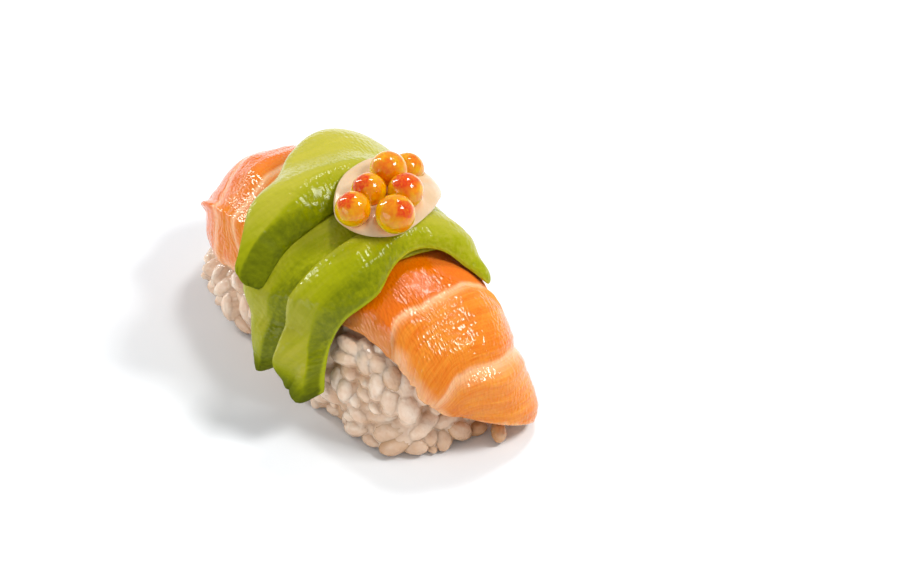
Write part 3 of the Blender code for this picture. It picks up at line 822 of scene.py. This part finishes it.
# %% Avocado: the rear and the front slice
slice_rear = avocado_slice(
    "avocado_slice_rear", REAR, REAR_THICK, middle_cover, rim=0.0, seed=31,
    bend=(
        (-15.6, -12.7, -11, -9.5, -7.3, -2.3, 4, 16),
        (0.0, 0.14, 0.35, 0.48, 0.56, 0.6, 0.6, 0.6),
        (0.08, 0.06, 0.06, 0.1, 0.3, 0.5, 0.6, 0.6),
    ),
    wedge=((-15.6, -12, -8, -2, 16), (0.78, 0.74, 0.62, 0.55, 0.5), (0.28, 0.16, 0.14, 0.22, 0.3)),
    tones=(
        (-15.6, -13, -9, -4, 1, 16),
        (0.6, 0.46, 0.27, 0.25, 0.24, 0.24),
        (0.66, 0.56, 0.38, 0.36, 0.32, 0.28),
        (0.76, 0.76, 0.74, 0.68, 0.54, 0.46),
    ),
    end=((-1, 0, 1), (0.0, 0.0, 0.0)),
)
slice_front = avocado_slice(
    "avocado_slice_front", FRONT, FRONT_THICK, middle_cover, rim=0.6, seed=41,
    bend=(
        (-22.4, -17, -15.7, -13.5, -12.4, -9.4, -5.7, -1.3, 13.4),
        (0.6, 0.7, 0.59, 0.5, 0.5, 0.45, 0.3, 0.4, 0.5),
        (0.1, 0.08, 0.06, 0.06, 0.1, 0.2, 0.3, 0.4, 0.5),
    ),
    wedge=((-22.4, -10, 13.4), (0.98, 0.95, 0.9), (0.55, 0.5, 0.6)),
    tones=(
        (-22.4, -20.2, -18, -15, -10, -6, -1, 4, 13.4),
        (1.0, 0.8, 0.42, 0.38, 0.44, 0.42, 0.3, 0.24, 0.3),
        (1.0, 0.82, 0.42, 0.38, 0.52, 0.56, 0.46, 0.4, 0.4),
        (1.0, 0.9, 0.74, 0.68, 0.68, 0.64, 0.57, 0.47, 0.47),
    ),
    end=((-1, -0.7, -0.1, 0.15, 0.7, 1), (0.9, 0.3, 0.3, 0.0, 0.2, 1.3)),
    creases=(((15.6, -18.2), (16.6, -22.0), 0.45), ((17.6, -19.0), (21.0, -20.2), 0.5)),
)
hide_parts("avocado_middle")
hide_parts("avocado_rear")
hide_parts("avocado_front")

# %% [markdown]
# ## Roe: where the pearls lie
#
# Six pearls of salmon roe are pressed into the cream, close together. A simulation could drop them there, but
# it is hard to make one end in a given heap. So each pearl has its place on the skin and its lift, as every
# layer here has, and its patches of red oil are given as the camera sees them.

# %% Roe: places
ROE = (  # u, v, lift of the middle, radius
    (6.8, -3.4, 12.5, 2.6),
    (4.8, 0.5, 11.9, 2.6),
    (2.8, 4.5, 12.2, 2.75),
    (1.5, 7.6, 10.3, 2.5),
    (6.7, 4.3, 12.1, 2.65),
    (9.4, 1.1, 12.1, 2.9),
)
OIL = (  # pearl, the patch as the camera sees it: to the right, up, towards it; its size; how dense it is
    (0, (-0.45, 0.55, 0.7), 0.62, 1.0),
    (1, (-0.55, 0.45, 0.7), 0.6, 1.0),
    (2, (-0.05, -0.1, 1.0), 0.7, 0.5),
    (3, (0.3, 0.5, 0.6), 0.4, 0.4),
    (4, (0.0, 0.7, 0.7), 0.75, 1.0),
    (5, (0.55, 0.25, 0.8), 0.6, 1.0),
    (5, (-0.35, 0.45, 0.8), 0.35, 0.45),
)
pearl_middles = [lifted(u, v, lift) for u, v, lift, _ in ROE]
print("pearls, mm across:", [2 * radius for *_, radius in ROE])

# %% [markdown]
# ## Roe: the finish
#
# A pearl is a clear, thin bag of orange oil and water, in which redder oil gathers in a patch. It takes light
# in and lets it out again, so it glows, most of all on the side away from the key light. Real glass would be
# slow to render and dark inside. So the pearl lets a third of the light straight through and scatters most
# of the rest. The glow is painted light: a brighter yellow on the side away from the key light, stored at
# its points with the patch of oil.

# %% Roe: finish
AMBER_SHADE, AMBER_LIGHT = tint(244, 144, 0), tint(255, 190, 0)
LIT_THROUGH, RED_OIL = tint(255, 216, 6), tint(232, 70, 0)
roe_finish, tree, shader = new_finish(
    "roe_skin", Roughness=0.03, IOR=1.38, Transmission_Weight=0.35, Subsurface_Weight=0.8,
    Subsurface_Radius=(1.0, 0.45, 0.02), Subsurface_Scale=0.0008, Coat_Weight=0.9, Coat_Roughness=0.02,
    Coat_IOR=1.36, Specular_IOR_Level=0.1,
)
place = object_place(tree)
swirl = noise(tree, place, 800.0, 3.0)
beads = noise(tree, place, 2600.0, 3.0)
amber = ramp(tree, swirl, ((0.35, AMBER_SHADE), (0.68, AMBER_LIGHT)))
# painted glow: the side away from the key light is mixed towards a brighter yellow
bright = blend_colours(tree, attribute(tree, "painted_glow"), amber, LIT_THROUGH)
dense = number(tree, "MULTIPLY", attribute(tree, "oil"), remap(tree, beads, 0.3, 0.6, 0.55, 1.0), clamp=True)
tree.links.new(blend_colours(tree, dense, bright, RED_OIL), shader.inputs["Base Color"])
print("roe_skin:", len(tree.nodes), "nodes")

# %% [markdown]
# ## Roe: the meshes
#
# Plain balls would cut through each other. Real pearls are soft, and where two of them press together both
# go flat. So each pearl is a ball of rings whose reach ends at the plane between it and a neighbour.

# %% Roe: meshes
PEARL_RINGS, PEARL_AROUND = 60, 80
DIMPLE = 0.012  # share of the radius by which a pearl is uneven
SEAM = 0.04  # mm by which two pearls overlap where they press flat against each other


def ball_rings(rings, around):
    """Unit sphere as rings from pole to pole."""
    polar = (np.arange(1, rings + 1) / (rings + 1) * math.pi)[:, None]
    turn = np.arange(around) * 2 * math.pi / around
    return np.stack([np.sin(polar) * np.cos(turn), np.sin(polar) * np.sin(turn), np.cos(polar) + 0 * turn], -1)


def pressed_reach(way, middle, radius, count):
    """The ball's reach in each direction, dimpled a little and cut off flat where a neighbour touches it."""
    uneven = ripple(way[..., 0] * 2 + 5, way[..., 1] * 2 + way[..., 2] + 5, 60 + count)
    reach = radius * (1 + DIMPLE * uneven)
    for other, (_, _, _, other_radius) in zip(pearl_middles, ROE):
        apart = np.linalg.norm(other - middle)
        if 0 < apart < radius + other_radius + 0.5:
            facing = way @ (other - middle) / apart
            face = (apart + radius - other_radius) / 2 + SEAM
            reach = np.minimum(reach, np.where(facing > 0.2, face / np.maximum(facing, 0.2), np.inf))
    return reach


def oil_share(way, count):
    """How much red oil lies under each point: 1 in the middle of a patch, fading at its wavy border."""
    oil = np.zeros(way.shape[:2])
    for index, lie, size, density in OIL:
        if index == count - 1:
            out = lie[0] * right + lie[1] * up + lie[2] * back
            off = np.arccos(np.clip(way @ out / np.linalg.norm(out), -1, 1))
            off += 0.18 * ripple(way[..., 0] * 4 + 9, way[..., 1] * 4 + way[..., 2] * 3 + 9, 70 + count)
            oil = np.maximum(oil, density * (1 - ease(off, size * 0.75, size * 1.1)))
    return oil


for count, (middle, (_, _, _, radius)) in enumerate(zip(pearl_middles, ROE), 1):
    way = ball_rings(PEARL_RINGS, PEARL_AROUND)
    pearl_rings = middle + way * pressed_reach(way, middle, radius, count)[..., None]
    # painted glow, stored at each point: more on the side away from the key light
    painted_glow = ease(-(way @ KEY_WAY), -0.3, 0.7)
    stored = {"oil": oil_share(way, count), "painted_glow": painted_glow}
    piece = ring_piece(f"roe_pearl_{count}", pearl_rings, stored, roe_finish)
    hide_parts(f"roe_{count}")

# %% [markdown]
# ## Cream: the finish
#
# The sauce is a pale, warm cream, and light goes a little way into it. One plain colour would look like
# paint. So two close tones drift over it, and near the pearls, whose orange light shines on it, a painted
# glow, stored at its points, warms it.

# %% Cream: finish
SAUCE_SHADE, SAUCE_LIGHT, ORANGE_GLOW = tint(207, 177, 141), tint(212, 185, 152), tint(244, 168, 100)
cream_finish, tree, shader = new_finish(
    "cream_sauce", Roughness=0.2, IOR=1.42, Subsurface_Weight=0.4, Subsurface_Radius=(1.0, 0.7, 0.4),
    Subsurface_Scale=0.0012,
)
smear = noise(tree, object_place(tree), 350.0, 3.0)
sauce = ramp(tree, smear, ((0.35, SAUCE_SHADE), (0.65, SAUCE_LIGHT)))
tree.links.new(blend_colours(tree, attribute(tree, "painted_glow"), sauce, ORANGE_GLOW), shader.inputs["Base Color"])
bump(tree, shader, ((smear, 0.15), (noise(tree, object_place(tree), 1600.0, 2.0), 0.03)))
print("cream_sauce:", len(tree.nodes), "nodes")

# %% [markdown]
# ## Cream: the dollop
#
# The cream is a thick dollop that the pearls are pressed into. It could be sculpted by hand, but then it
# would no longer fit once a slice or a pearl moved. So its outline is an ellipse with a few bulges, and the
# rest is worked out: it bridges the gaps between the slices, its belly sags into them, and under each pearl
# its top is lowered to the pearl's underside. Round the pearl it creeps up a little.

# %% Cream: outline
CREAM_MIDDLE, CREAM_HALF, CREAM_TURN, CREAM_THICK = (4.5, 3.0), (7.7, 5.5), 115.0, 2.0
CREAM_RINGS, CREAM_AROUND = 110, 150
CREAM_WAYS = (-3.15, -2.5, -1.9, -1.3, -0.85, -0.45, -0.1, 0.3, 0.8, 1.3, 1.9, 2.4, 3.15)  # radians round it
CREAM_BULGE = (1.03, 0.97, 0.95, 0.94, 0.97, 1.1, 1.18, 1.19, 1.1, 1.05, 1.08, 1.06, 1.03)
level = np.linspace(-math.pi / 2, math.pi / 2, CREAM_RINGS + 2)[1:-1, None]
turn = np.arange(CREAM_AROUND) * 2 * math.pi / CREAM_AROUND
reach = np.cos(level) ** 0.75
height = RIM + np.where(level > 0, 1 - RIM, RIM) * np.sin(level)
wave = 0.012 * ripple(2 + 2 * np.cos(turn), 2 + 2 * np.sin(turn), 50)
full = wave + spline((turn + math.pi) % (2 * math.pi) - math.pi, CREAM_WAYS, CREAM_BULGE)
long, wide = CREAM_HALF[0] * reach * full * np.cos(turn), CREAM_HALF[1] * reach * full * np.sin(turn)
swing = math.radians(CREAM_TURN)
u = CREAM_MIDDLE[0] + long * math.cos(swing) - wide * math.sin(swing)
v = CREAM_MIDDLE[1] + long * math.sin(swing) + wide * math.cos(swing)
print("cream, mm across:", np.round(np.ptp(u), 1), "by", np.round(np.ptp(v), 1))

# %% Cream: lift
LEVEL_ROUND = 3  # mm: how far around each point the lift below is averaged, which levels the top
STEEP_RAMPS = (1.0, 1.0)
under = avocado_cover(u, v)
steps = [(LEVEL_ROUND * math.cos(a), LEVEL_ROUND * math.sin(a)) for a in turn[::15]]
levelled = sum(avocado_cover(u + du, v + dv) for du, dv in steps) / len(steps)
plump = CREAM_THICK * (1 + 0.9 * ease(reach * np.cos(turn - 0.1), 0.2, 1.0))
lift = under - GAP + (np.maximum(levelled - under, -0.8) + plump + GAP) * height
sag = np.minimum(under - avocado_cover(u, v, STEEP_RAMPS), 0.8 * CREAM_HALF[1] * (1 - reach))
lift = lift - sag * (height < RIM)
points, normals = lifted(u, v, lift), skin(u, v)[1]
print(f"the belly sags by up to {sag.max():.1f} mm")

# %% Cream: round the pearls
CREEP, CREEP_WIDTH, PRESS_IN = 0.3, 0.5, 0.06  # mm
painted_glow = np.zeros_like(lift)
for middle, (_, _, _, radius) in zip(pearl_middles, ROE):
    away = points - middle
    along = (away * normals).sum(-1)
    beside = np.sqrt(np.maximum((away**2).sum(-1) - along**2, 0))
    touching = (height > RIM) * (np.abs(along) < radius)
    creep = CREEP * ridge(np.maximum(beside - radius, 0), CREEP_WIDTH) * touching
    points = points + normals * creep[..., None]
    away, along = points - middle, along + creep
    inside = (away**2).sum(-1) - (radius - PRESS_IN) ** 2
    drop = np.where(inside < 0, along + np.sqrt(np.maximum(along**2 - inside, 0)), 0)
    points = points - normals * drop[..., None]
    # painted glow: the pearl's orange light, painted into the cream round it
    painted_glow = np.maximum(painted_glow, ridge(np.maximum(np.linalg.norm(points - middle, axis=-1) - radius, 0), 0.9))
cream = ring_piece("cream_dollop", points, {"painted_glow": 0.35 * painted_glow}, cream_finish)
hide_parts("cream")

# %% [markdown]
# ## Rice: the finish
#
# Cooked rice is pearly: light goes in and comes out again near by, so its shade is soft. White paint would
# look like chalk. So the grains scatter light inside, two pale tones drift over them, and a stored, painted
# shade makes them more tan low on the block, deep in it and between the grains, where less light gets to.

# %% Rice: finish
PEARLY_SHADE, PEARLY_LIGHT, SHADE_TAN = tint(238, 208, 183), tint(248, 226, 206), tint(192, 144, 98)
rice_finish, tree, shader = new_finish(
    "rice_grain", Roughness=0.12, IOR=1.4, Subsurface_Weight=0.5, Subsurface_Radius=(1.0, 0.94, 0.88),
    Subsurface_Scale=0.001,
)
cloudy = noise(tree, object_place(tree), 600.0, 2.0)
pearly = ramp(tree, cloudy, ((0.35, PEARLY_SHADE), (0.65, PEARLY_LIGHT)))
# the stored shade is painted shade, together with each grain's own random tone
tree.links.new(blend_colours(tree, attribute(tree, "shade"), pearly, SHADE_TAN), shader.inputs["Base Color"])
wet = noise(tree, object_place(tree), 1500.0, 1.0)
bump(tree, shader, ((cloudy, 0.12), (wet, 0.16)))
print("rice_grain:", len(tree.nodes), "nodes")

# %% [markdown]
# ## Rice: the grains
#
# Short-grain rice is plump, and starch glues the grains together. Thrown at random they would cut through
# each other, and set in rows they would look like a wall. So the grains start at random round the block and
# then push each other apart, a little at each step, until they are pressed as a hand presses them. A grain
# under the fish or the fruit is sunk until it touches neither. The grain repeats hundreds of times, so it
# has only a few dozen faces.

# %% Rice: one grain
GRAIN_HALF = (2.7, 1.55, 1.38)
GRAIN_RINGS, GRAIN_AROUND = 6, 9


def grain_rings():
    """A plump grain along x: radius (1 - |t|^1.9)^0.55, bent a little, fuller at one end."""
    t = -np.cos(np.linspace(0, math.pi, GRAIN_RINGS + 2)[1:-1])[:, None]
    turn = np.arange(GRAIN_AROUND) * 2 * math.pi / GRAIN_AROUND
    girth = (1 - np.abs(t) ** 1.9) ** 0.55 * (1 + 0.14 * t)
    x = t + 0 * turn
    return np.stack([x, girth * np.cos(turn), girth * np.sin(turn) - 0.16 * t**2], -1)


grain = with_ends(grain_rings())
grain[-2:, 0] = (-1, 1)
print("faces in a grain:", sum(map(len, ring_faces(GRAIN_RINGS, GRAIN_AROUND))))

# %% Rice: where a grain may lie
SKIN_WAYS, SKIN_STEPS = 120, 60
LOOSE = (  # grains that came off and lie on the table: middle, direction
    ((28.6, 4.4, 1.2), (0.5, 0.8, 0.1)),
    ((31.3, 6.9, 1.3), (0.9, -0.35, 0.0)),
)
FILLERS = (  # grains pressed into the hollow along the salmon's near edge: u, v, direction
    (15.6, -12.6, 0.3), (18.2, -11.6, -0.5), (16.6, -14.4, 0.9), (20.4, -10.4, 0.6), (23.0, -9.4, -0.2),
)
BLOCK_HEART = Vector((0, 0, 5))  # a place inside the block, which tells out from in

turn = np.linspace(0, 2 * math.pi, SKIN_WAYS + 1)[:-1]
turn, level = np.meshgrid(turn, np.linspace(0.02, 1.45, SKIN_STEPS), indexing="ij")
skin_points = skin(SKIN_LENGTH * level * np.cos(turn), SKIN_WIDTH * level * np.sin(turn))[0]
i, k = np.meshgrid(np.arange(SKIN_WAYS), np.arange(SKIN_STEPS - 1), indexing="ij")
a, b = i * SKIN_STEPS + k, (i + 1) % SKIN_WAYS * SKIN_STEPS + k
skin_faces = np.stack([a, b, b + 1, a + 1], -1).reshape(-1, 4)
skin_tree = BVHTree.FromPolygons(skin_points.reshape(-1, 3).tolist(), skin_faces.tolist())


def outward_and_depth(place):
    """The way out of the block from a place, and how deep it lies below the skin."""
    nearest, way, _, _ = skin_tree.find_nearest(place)
    out = np.array(way) * (1 if np.dot(way, nearest - BLOCK_HEART) > 0 else -1)
    return out, -np.dot(place - np.array(nearest), out)


def swell(places):
    """How far the rice bulges past the block's skin: low at the rear near side, and at the front end."""
    x, y, z = places.T
    rear = 1.6 * ease(-x, 8, 15) * (1 - ease(-x, 24, 31)) * ease(-y, 5, 10) * (1 - ease(z, 6, 11))
    return rear + 0.8 * ease(x, 20, 26) * (1 - ease(z, 3, 6))


print("depth of the block's middle below its skin:", round(outward_and_depth((0.0, 0.0, 8.0))[1], 1), "mm")

# %% Rice: press the grains together
GRAINS, PRESSES = 430, 36
BALL_STEP, BALL = 1.3, 1.2  # each grain counts as three balls in a row, this far apart and this big
SHALLOWEST, DEEPEST = 1.15, 3.6  # how far below the skin a ball's middle may lie
APART_SHARE, BACK_SHARE = 0.35, 0.7  # how much of an overlap, and of a stray, one press undoes
rng = np.random.default_rng(12)
turn, level = rng.uniform(0, 2 * math.pi, GRAINS), np.sqrt(rng.uniform(0.0, 1.7, GRAINS))
point, normal = skin(SKIN_LENGTH * level * np.cos(turn), SKIN_WIDTH * level * np.sin(turn))
middle = point - normal * rng.uniform(1.2, 3.2, GRAINS)[:, None]
long_way = np.cross(normal, rng.normal(size=(GRAINS, 3)))
slant = rng.normal(0, 0.55, GRAINS)[:, None]
long_way = long_way / np.linalg.norm(long_way, axis=-1, keepdims=True) + normal * slant
long_way /= np.linalg.norm(long_way, axis=-1, keepdims=True)
size = rng.uniform(0.76, 1.2, GRAINS)
proud = rng.uniform(-0.5, 0.45, GRAINS)  # how far each one stands out of the block or lies back
owner = np.repeat(np.arange(GRAINS), 3)
for press in range(PRESSES):
    spots = np.array([-1, 0, 1]) * BALL_STEP * size[:, None]
    balls = (middle[:, None] + long_way[:, None] * spots[..., None]).reshape(-1, 3)
    radius = BALL * size[owner]
    apart = balls[:, None] - balls[None]
    distance = np.sqrt((apart**2).sum(-1)) + 1e-9
    push = np.maximum(radius[:, None] + radius[None] - distance, 0) * (owner[:, None] != owner[None])
    move = APART_SHARE * (apart * (push / distance)[..., None]).sum(1)
    least = SHALLOWEST * size[owner] - proud[owner] - swell(balls)
    for ball, place in enumerate(balls):  # keep each ball inside the block and above the table
        out, depth = outward_and_depth(place)
        move[ball] += out * (min(depth - least[ball], 0) + max(depth - DEEPEST, 0)) * BACK_SHARE
    move[:, 2] += np.maximum(radius * 0.98 - balls[:, 2], 0)
    move = move.reshape(-1, 3, 3)
    middle = middle + move.mean(1)
    long_way = long_way + (move[:, 2] - move[:, 0]) / (2 * BALL_STEP * size)[:, None]
    long_way /= np.linalg.norm(long_way, axis=-1, keepdims=True)
print(f"grains: {GRAINS}, deepest overlap left {push.max():.2f} mm, mean {push.sum(1).mean():.2f} mm")

# %% Rice: loose grains and fillers
LOOSE_SIZE, FILLER_SIZE, FILLER_DEPTH = 0.75, 1.05, 0.6
extra = len(LOOSE) + len(FILLERS)
girth = rng.uniform(0.82, 1.15, (GRAINS + extra, 2)) * np.append(size, np.ones(extra))[:, None]
tones = np.random.default_rng(5).uniform(-0.1, 0.14, GRAINS)  # how much more or less tan each grain is
# the loose grains and the fillers get more painted shade
tones = np.append(tones, np.full(extra, 0.3))
for loose_middle, loose_way in LOOSE:
    middle, size = np.append(middle, [loose_middle], 0), np.append(size, LOOSE_SIZE)
    long_way = np.append(long_way, [np.array(loose_way) / np.linalg.norm(loose_way)], 0)
for u, v, swing in FILLERS:
    ahead = skin(u + 0.1 * math.cos(swing), v + 0.1 * math.sin(swing))[0] - skin(u, v)[0]
    middle, size = np.append(middle, [lifted(u, v, -FILLER_DEPTH)], 0), np.append(size, FILLER_SIZE)
    long_way = np.append(long_way, [ahead / np.linalg.norm(ahead)], 0)
print("grains with the loose ones and the fillers:", len(middle))

# %% Rice: sink what would touch, and join
SINKS = (0, 0.15, 0.3, 0.5, 0.7, 0.9, 1.2, 1.6, 2.0)  # mm
OFF_TABLE = 0.08
CROWN = 1.4  # mm from a grain's middle to its crown


def grain_shade(points, out, depth, tone):
    """How tan each point is, 0 to 1: painted shade low on the block and deep in it, and round a grain's rim more
    than on its crown, where grains meet. The front end is a little darker, and each grain adds its own tone."""
    front = ease(points[:, 0], 18, 26)
    low = (0.35 + 0.1 * front) * (1 - ease(points[:, 2], 0.2, 4.0 + 2.5 * front))
    around = 1 - ease((points - points.mean(0)) @ out / CROWN, -0.2, 0.95)
    # painted shade round the rim and at the front end, plus the grain's own tone
    rim_front_shade_and_tone = (0.15 + 0.4 * np.maximum(front, low)) * around + 0.15 * front + tone
    return np.clip(np.maximum(0.35 * ease(depth, 1.4, 3.0), low) + rim_front_shade_and_tone, 0, 1)


toppings = [obj for obj in bpy.data.objects if obj.name.startswith(("salmon_slice", "avocado_slice"))]
trees = []
for obj in toppings:
    corners = [corner.co for corner in obj.data.vertices]
    trees.append(BVHTree.FromPolygons(corners, [face.vertices[:] for face in obj.data.polygons]))
walls, ends = ring_faces(GRAIN_RINGS, GRAIN_AROUND)
grain_faces = [*walls.tolist(), *ends.tolist()]
all_points, shades, film_grains = [], [], []
for index, (place, way, length, widths) in enumerate(zip(middle, long_way, size, girth)):
    out, depth = outward_and_depth(place)
    side = np.cross(out, way)
    side /= np.linalg.norm(side)
    axes = np.stack([way, side, np.cross(way, side)]) * (np.array(GRAIN_HALF) * [length, *widths])[:, None]
    for sink in SINKS:
        points = place - out * sink + grain @ axes
        points[:, 2] += max(0, OFF_TABLE - points[:, 2].min())
        shape = BVHTree.FromPolygons(((points - CENTRE) * MM).tolist(), grain_faces)
        if not any(shape.overlap(other) for other in trees):
            all_points.append(points)
            shades.append(grain_shade(points, out, depth + sink, tones[index]))
            if not GRAINS <= index < GRAINS + len(LOOSE):
                film_grains.append((points.mean(0), axes))
            break
shift = np.arange(len(all_points))[:, None, None] * len(grain)
grains = new_piece(
    "rice_grains", np.concatenate(all_points),
    [(walls + shift).reshape(-1, 4), (ends + shift).reshape(-1, 3)],
    {"shade": np.concatenate(shades)}, rice_finish,
)
print("grains kept:", len(all_points))

# %% [markdown]
# ## Rice: starch between the grains
#
# Pressed rice has no clear gaps: starch fills the grooves, and a groove ends in a soft valley. A plain core
# would leave deep black cracks. So the core is a rubber sheet pulled tight over the grains. A smooth distance
# to all grains at once, each taken as an ellipsoid, says how far the sheet still has to go. It moves in by
# nine tenths of that, seven times over.

# %% Rice: distance to the grains
FILM_BLEND = 0.12  # mm: how wide the grooves are filled
hearts = np.array([heart for heart, _ in film_grains])
halves = np.linalg.norm([axes for _, axes in film_grains], axis=-1)
to_grain = np.stack([axes for _, axes in film_grains]) / halves[..., None] ** 2
heart_in_grain = np.einsum("kac,kc->ka", to_grain, hearts).astype(np.float32)
to_grain, halves = to_grain.reshape(-1, 3).astype(np.float32), halves.astype(np.float32)


def distance_to_grains(points):
    """Smooth distance: -k log of the sum of e^(-d/k) over all grains, which rounds the grooves between them.
    Each grain is an ellipsoid: with q the place over its half sizes, d = |q| (|q| - 1) / |q / half sizes|."""
    flat = points.reshape(-1, 3).astype(np.float32)
    total = np.empty(len(flat))
    for rows in np.array_split(np.arange(len(flat)), 60):
        q = (flat[rows] @ to_grain.T).reshape(len(rows), -1, 3) - heart_in_grain
        reach = np.sqrt((q**2).sum(-1))
        off = reach * (reach - 1) / np.sqrt(((q / halves) ** 2).sum(-1) + 1e-9)
        nearest = off.min(1)
        total[rows] = nearest - FILM_BLEND * np.log(np.exp((nearest[:, None] - off) / FILM_BLEND).sum(1))
    return total.reshape(points.shape[:-1])


print("half sizes of the grains, mm, on average:", np.round(halves.mean(0), 2))

# %% Rice: core with the starch film
FILM_RINGS, FILM_AROUND, FOOT_RINGS = 140, 400, 26
FILM_START, FILM_DEEPEST = 2.2, 1.3  # mm over and under the skin
FILM_BELOW, FOOT_BELOW = 0.15, 0.3  # mm: how far the grains stand out of the film, higher up and at the foot
PULLS, PULL_SHARE = 7, 0.9
turn = np.arange(FILM_AROUND) * 2 * math.pi / FILM_AROUND
reach = np.sin(np.linspace(0, math.pi / 2, FILM_RINGS + 1))[1:, None]
dome, dome_out = skin(SKIN_LENGTH * reach * np.cos(turn), SKIN_WIDTH * reach * np.sin(turn))
drops = np.linspace(WALL_TOP, 0.5, FOOT_RINGS + 1)[1:, None, None]
foot = dome[-1] * [1, 1, 0] + drops * [0, 0, 1]
base = np.concatenate([dome, foot])
outward = np.concatenate([dome_out, np.broadcast_to(dome_out[-1], foot.shape)])
film = np.full(base.shape[:2], FILM_START)
for pull in range(PULLS):
    film = np.maximum(film - PULL_SHARE * distance_to_grains(base + outward * film[..., None]), -FILM_DEEPEST)
below = FILM_BELOW + (FOOT_BELOW - FILM_BELOW) * (1 - ease(base[..., 2], 1.5, 5))
core_rings = base + outward * (film - below)[..., None]
# the film is tan, and more so where it lies deep between the grains, as painted shade
core = ring_piece("rice_core", core_rings, {"shade": 0.3 + 0.35 * ease(-film, -0.3, 1.2)}, rice_finish)
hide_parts("rice")
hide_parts("rice")
print(f"film: {film.min():.1f} to {film.max():.1f} mm off the skin")
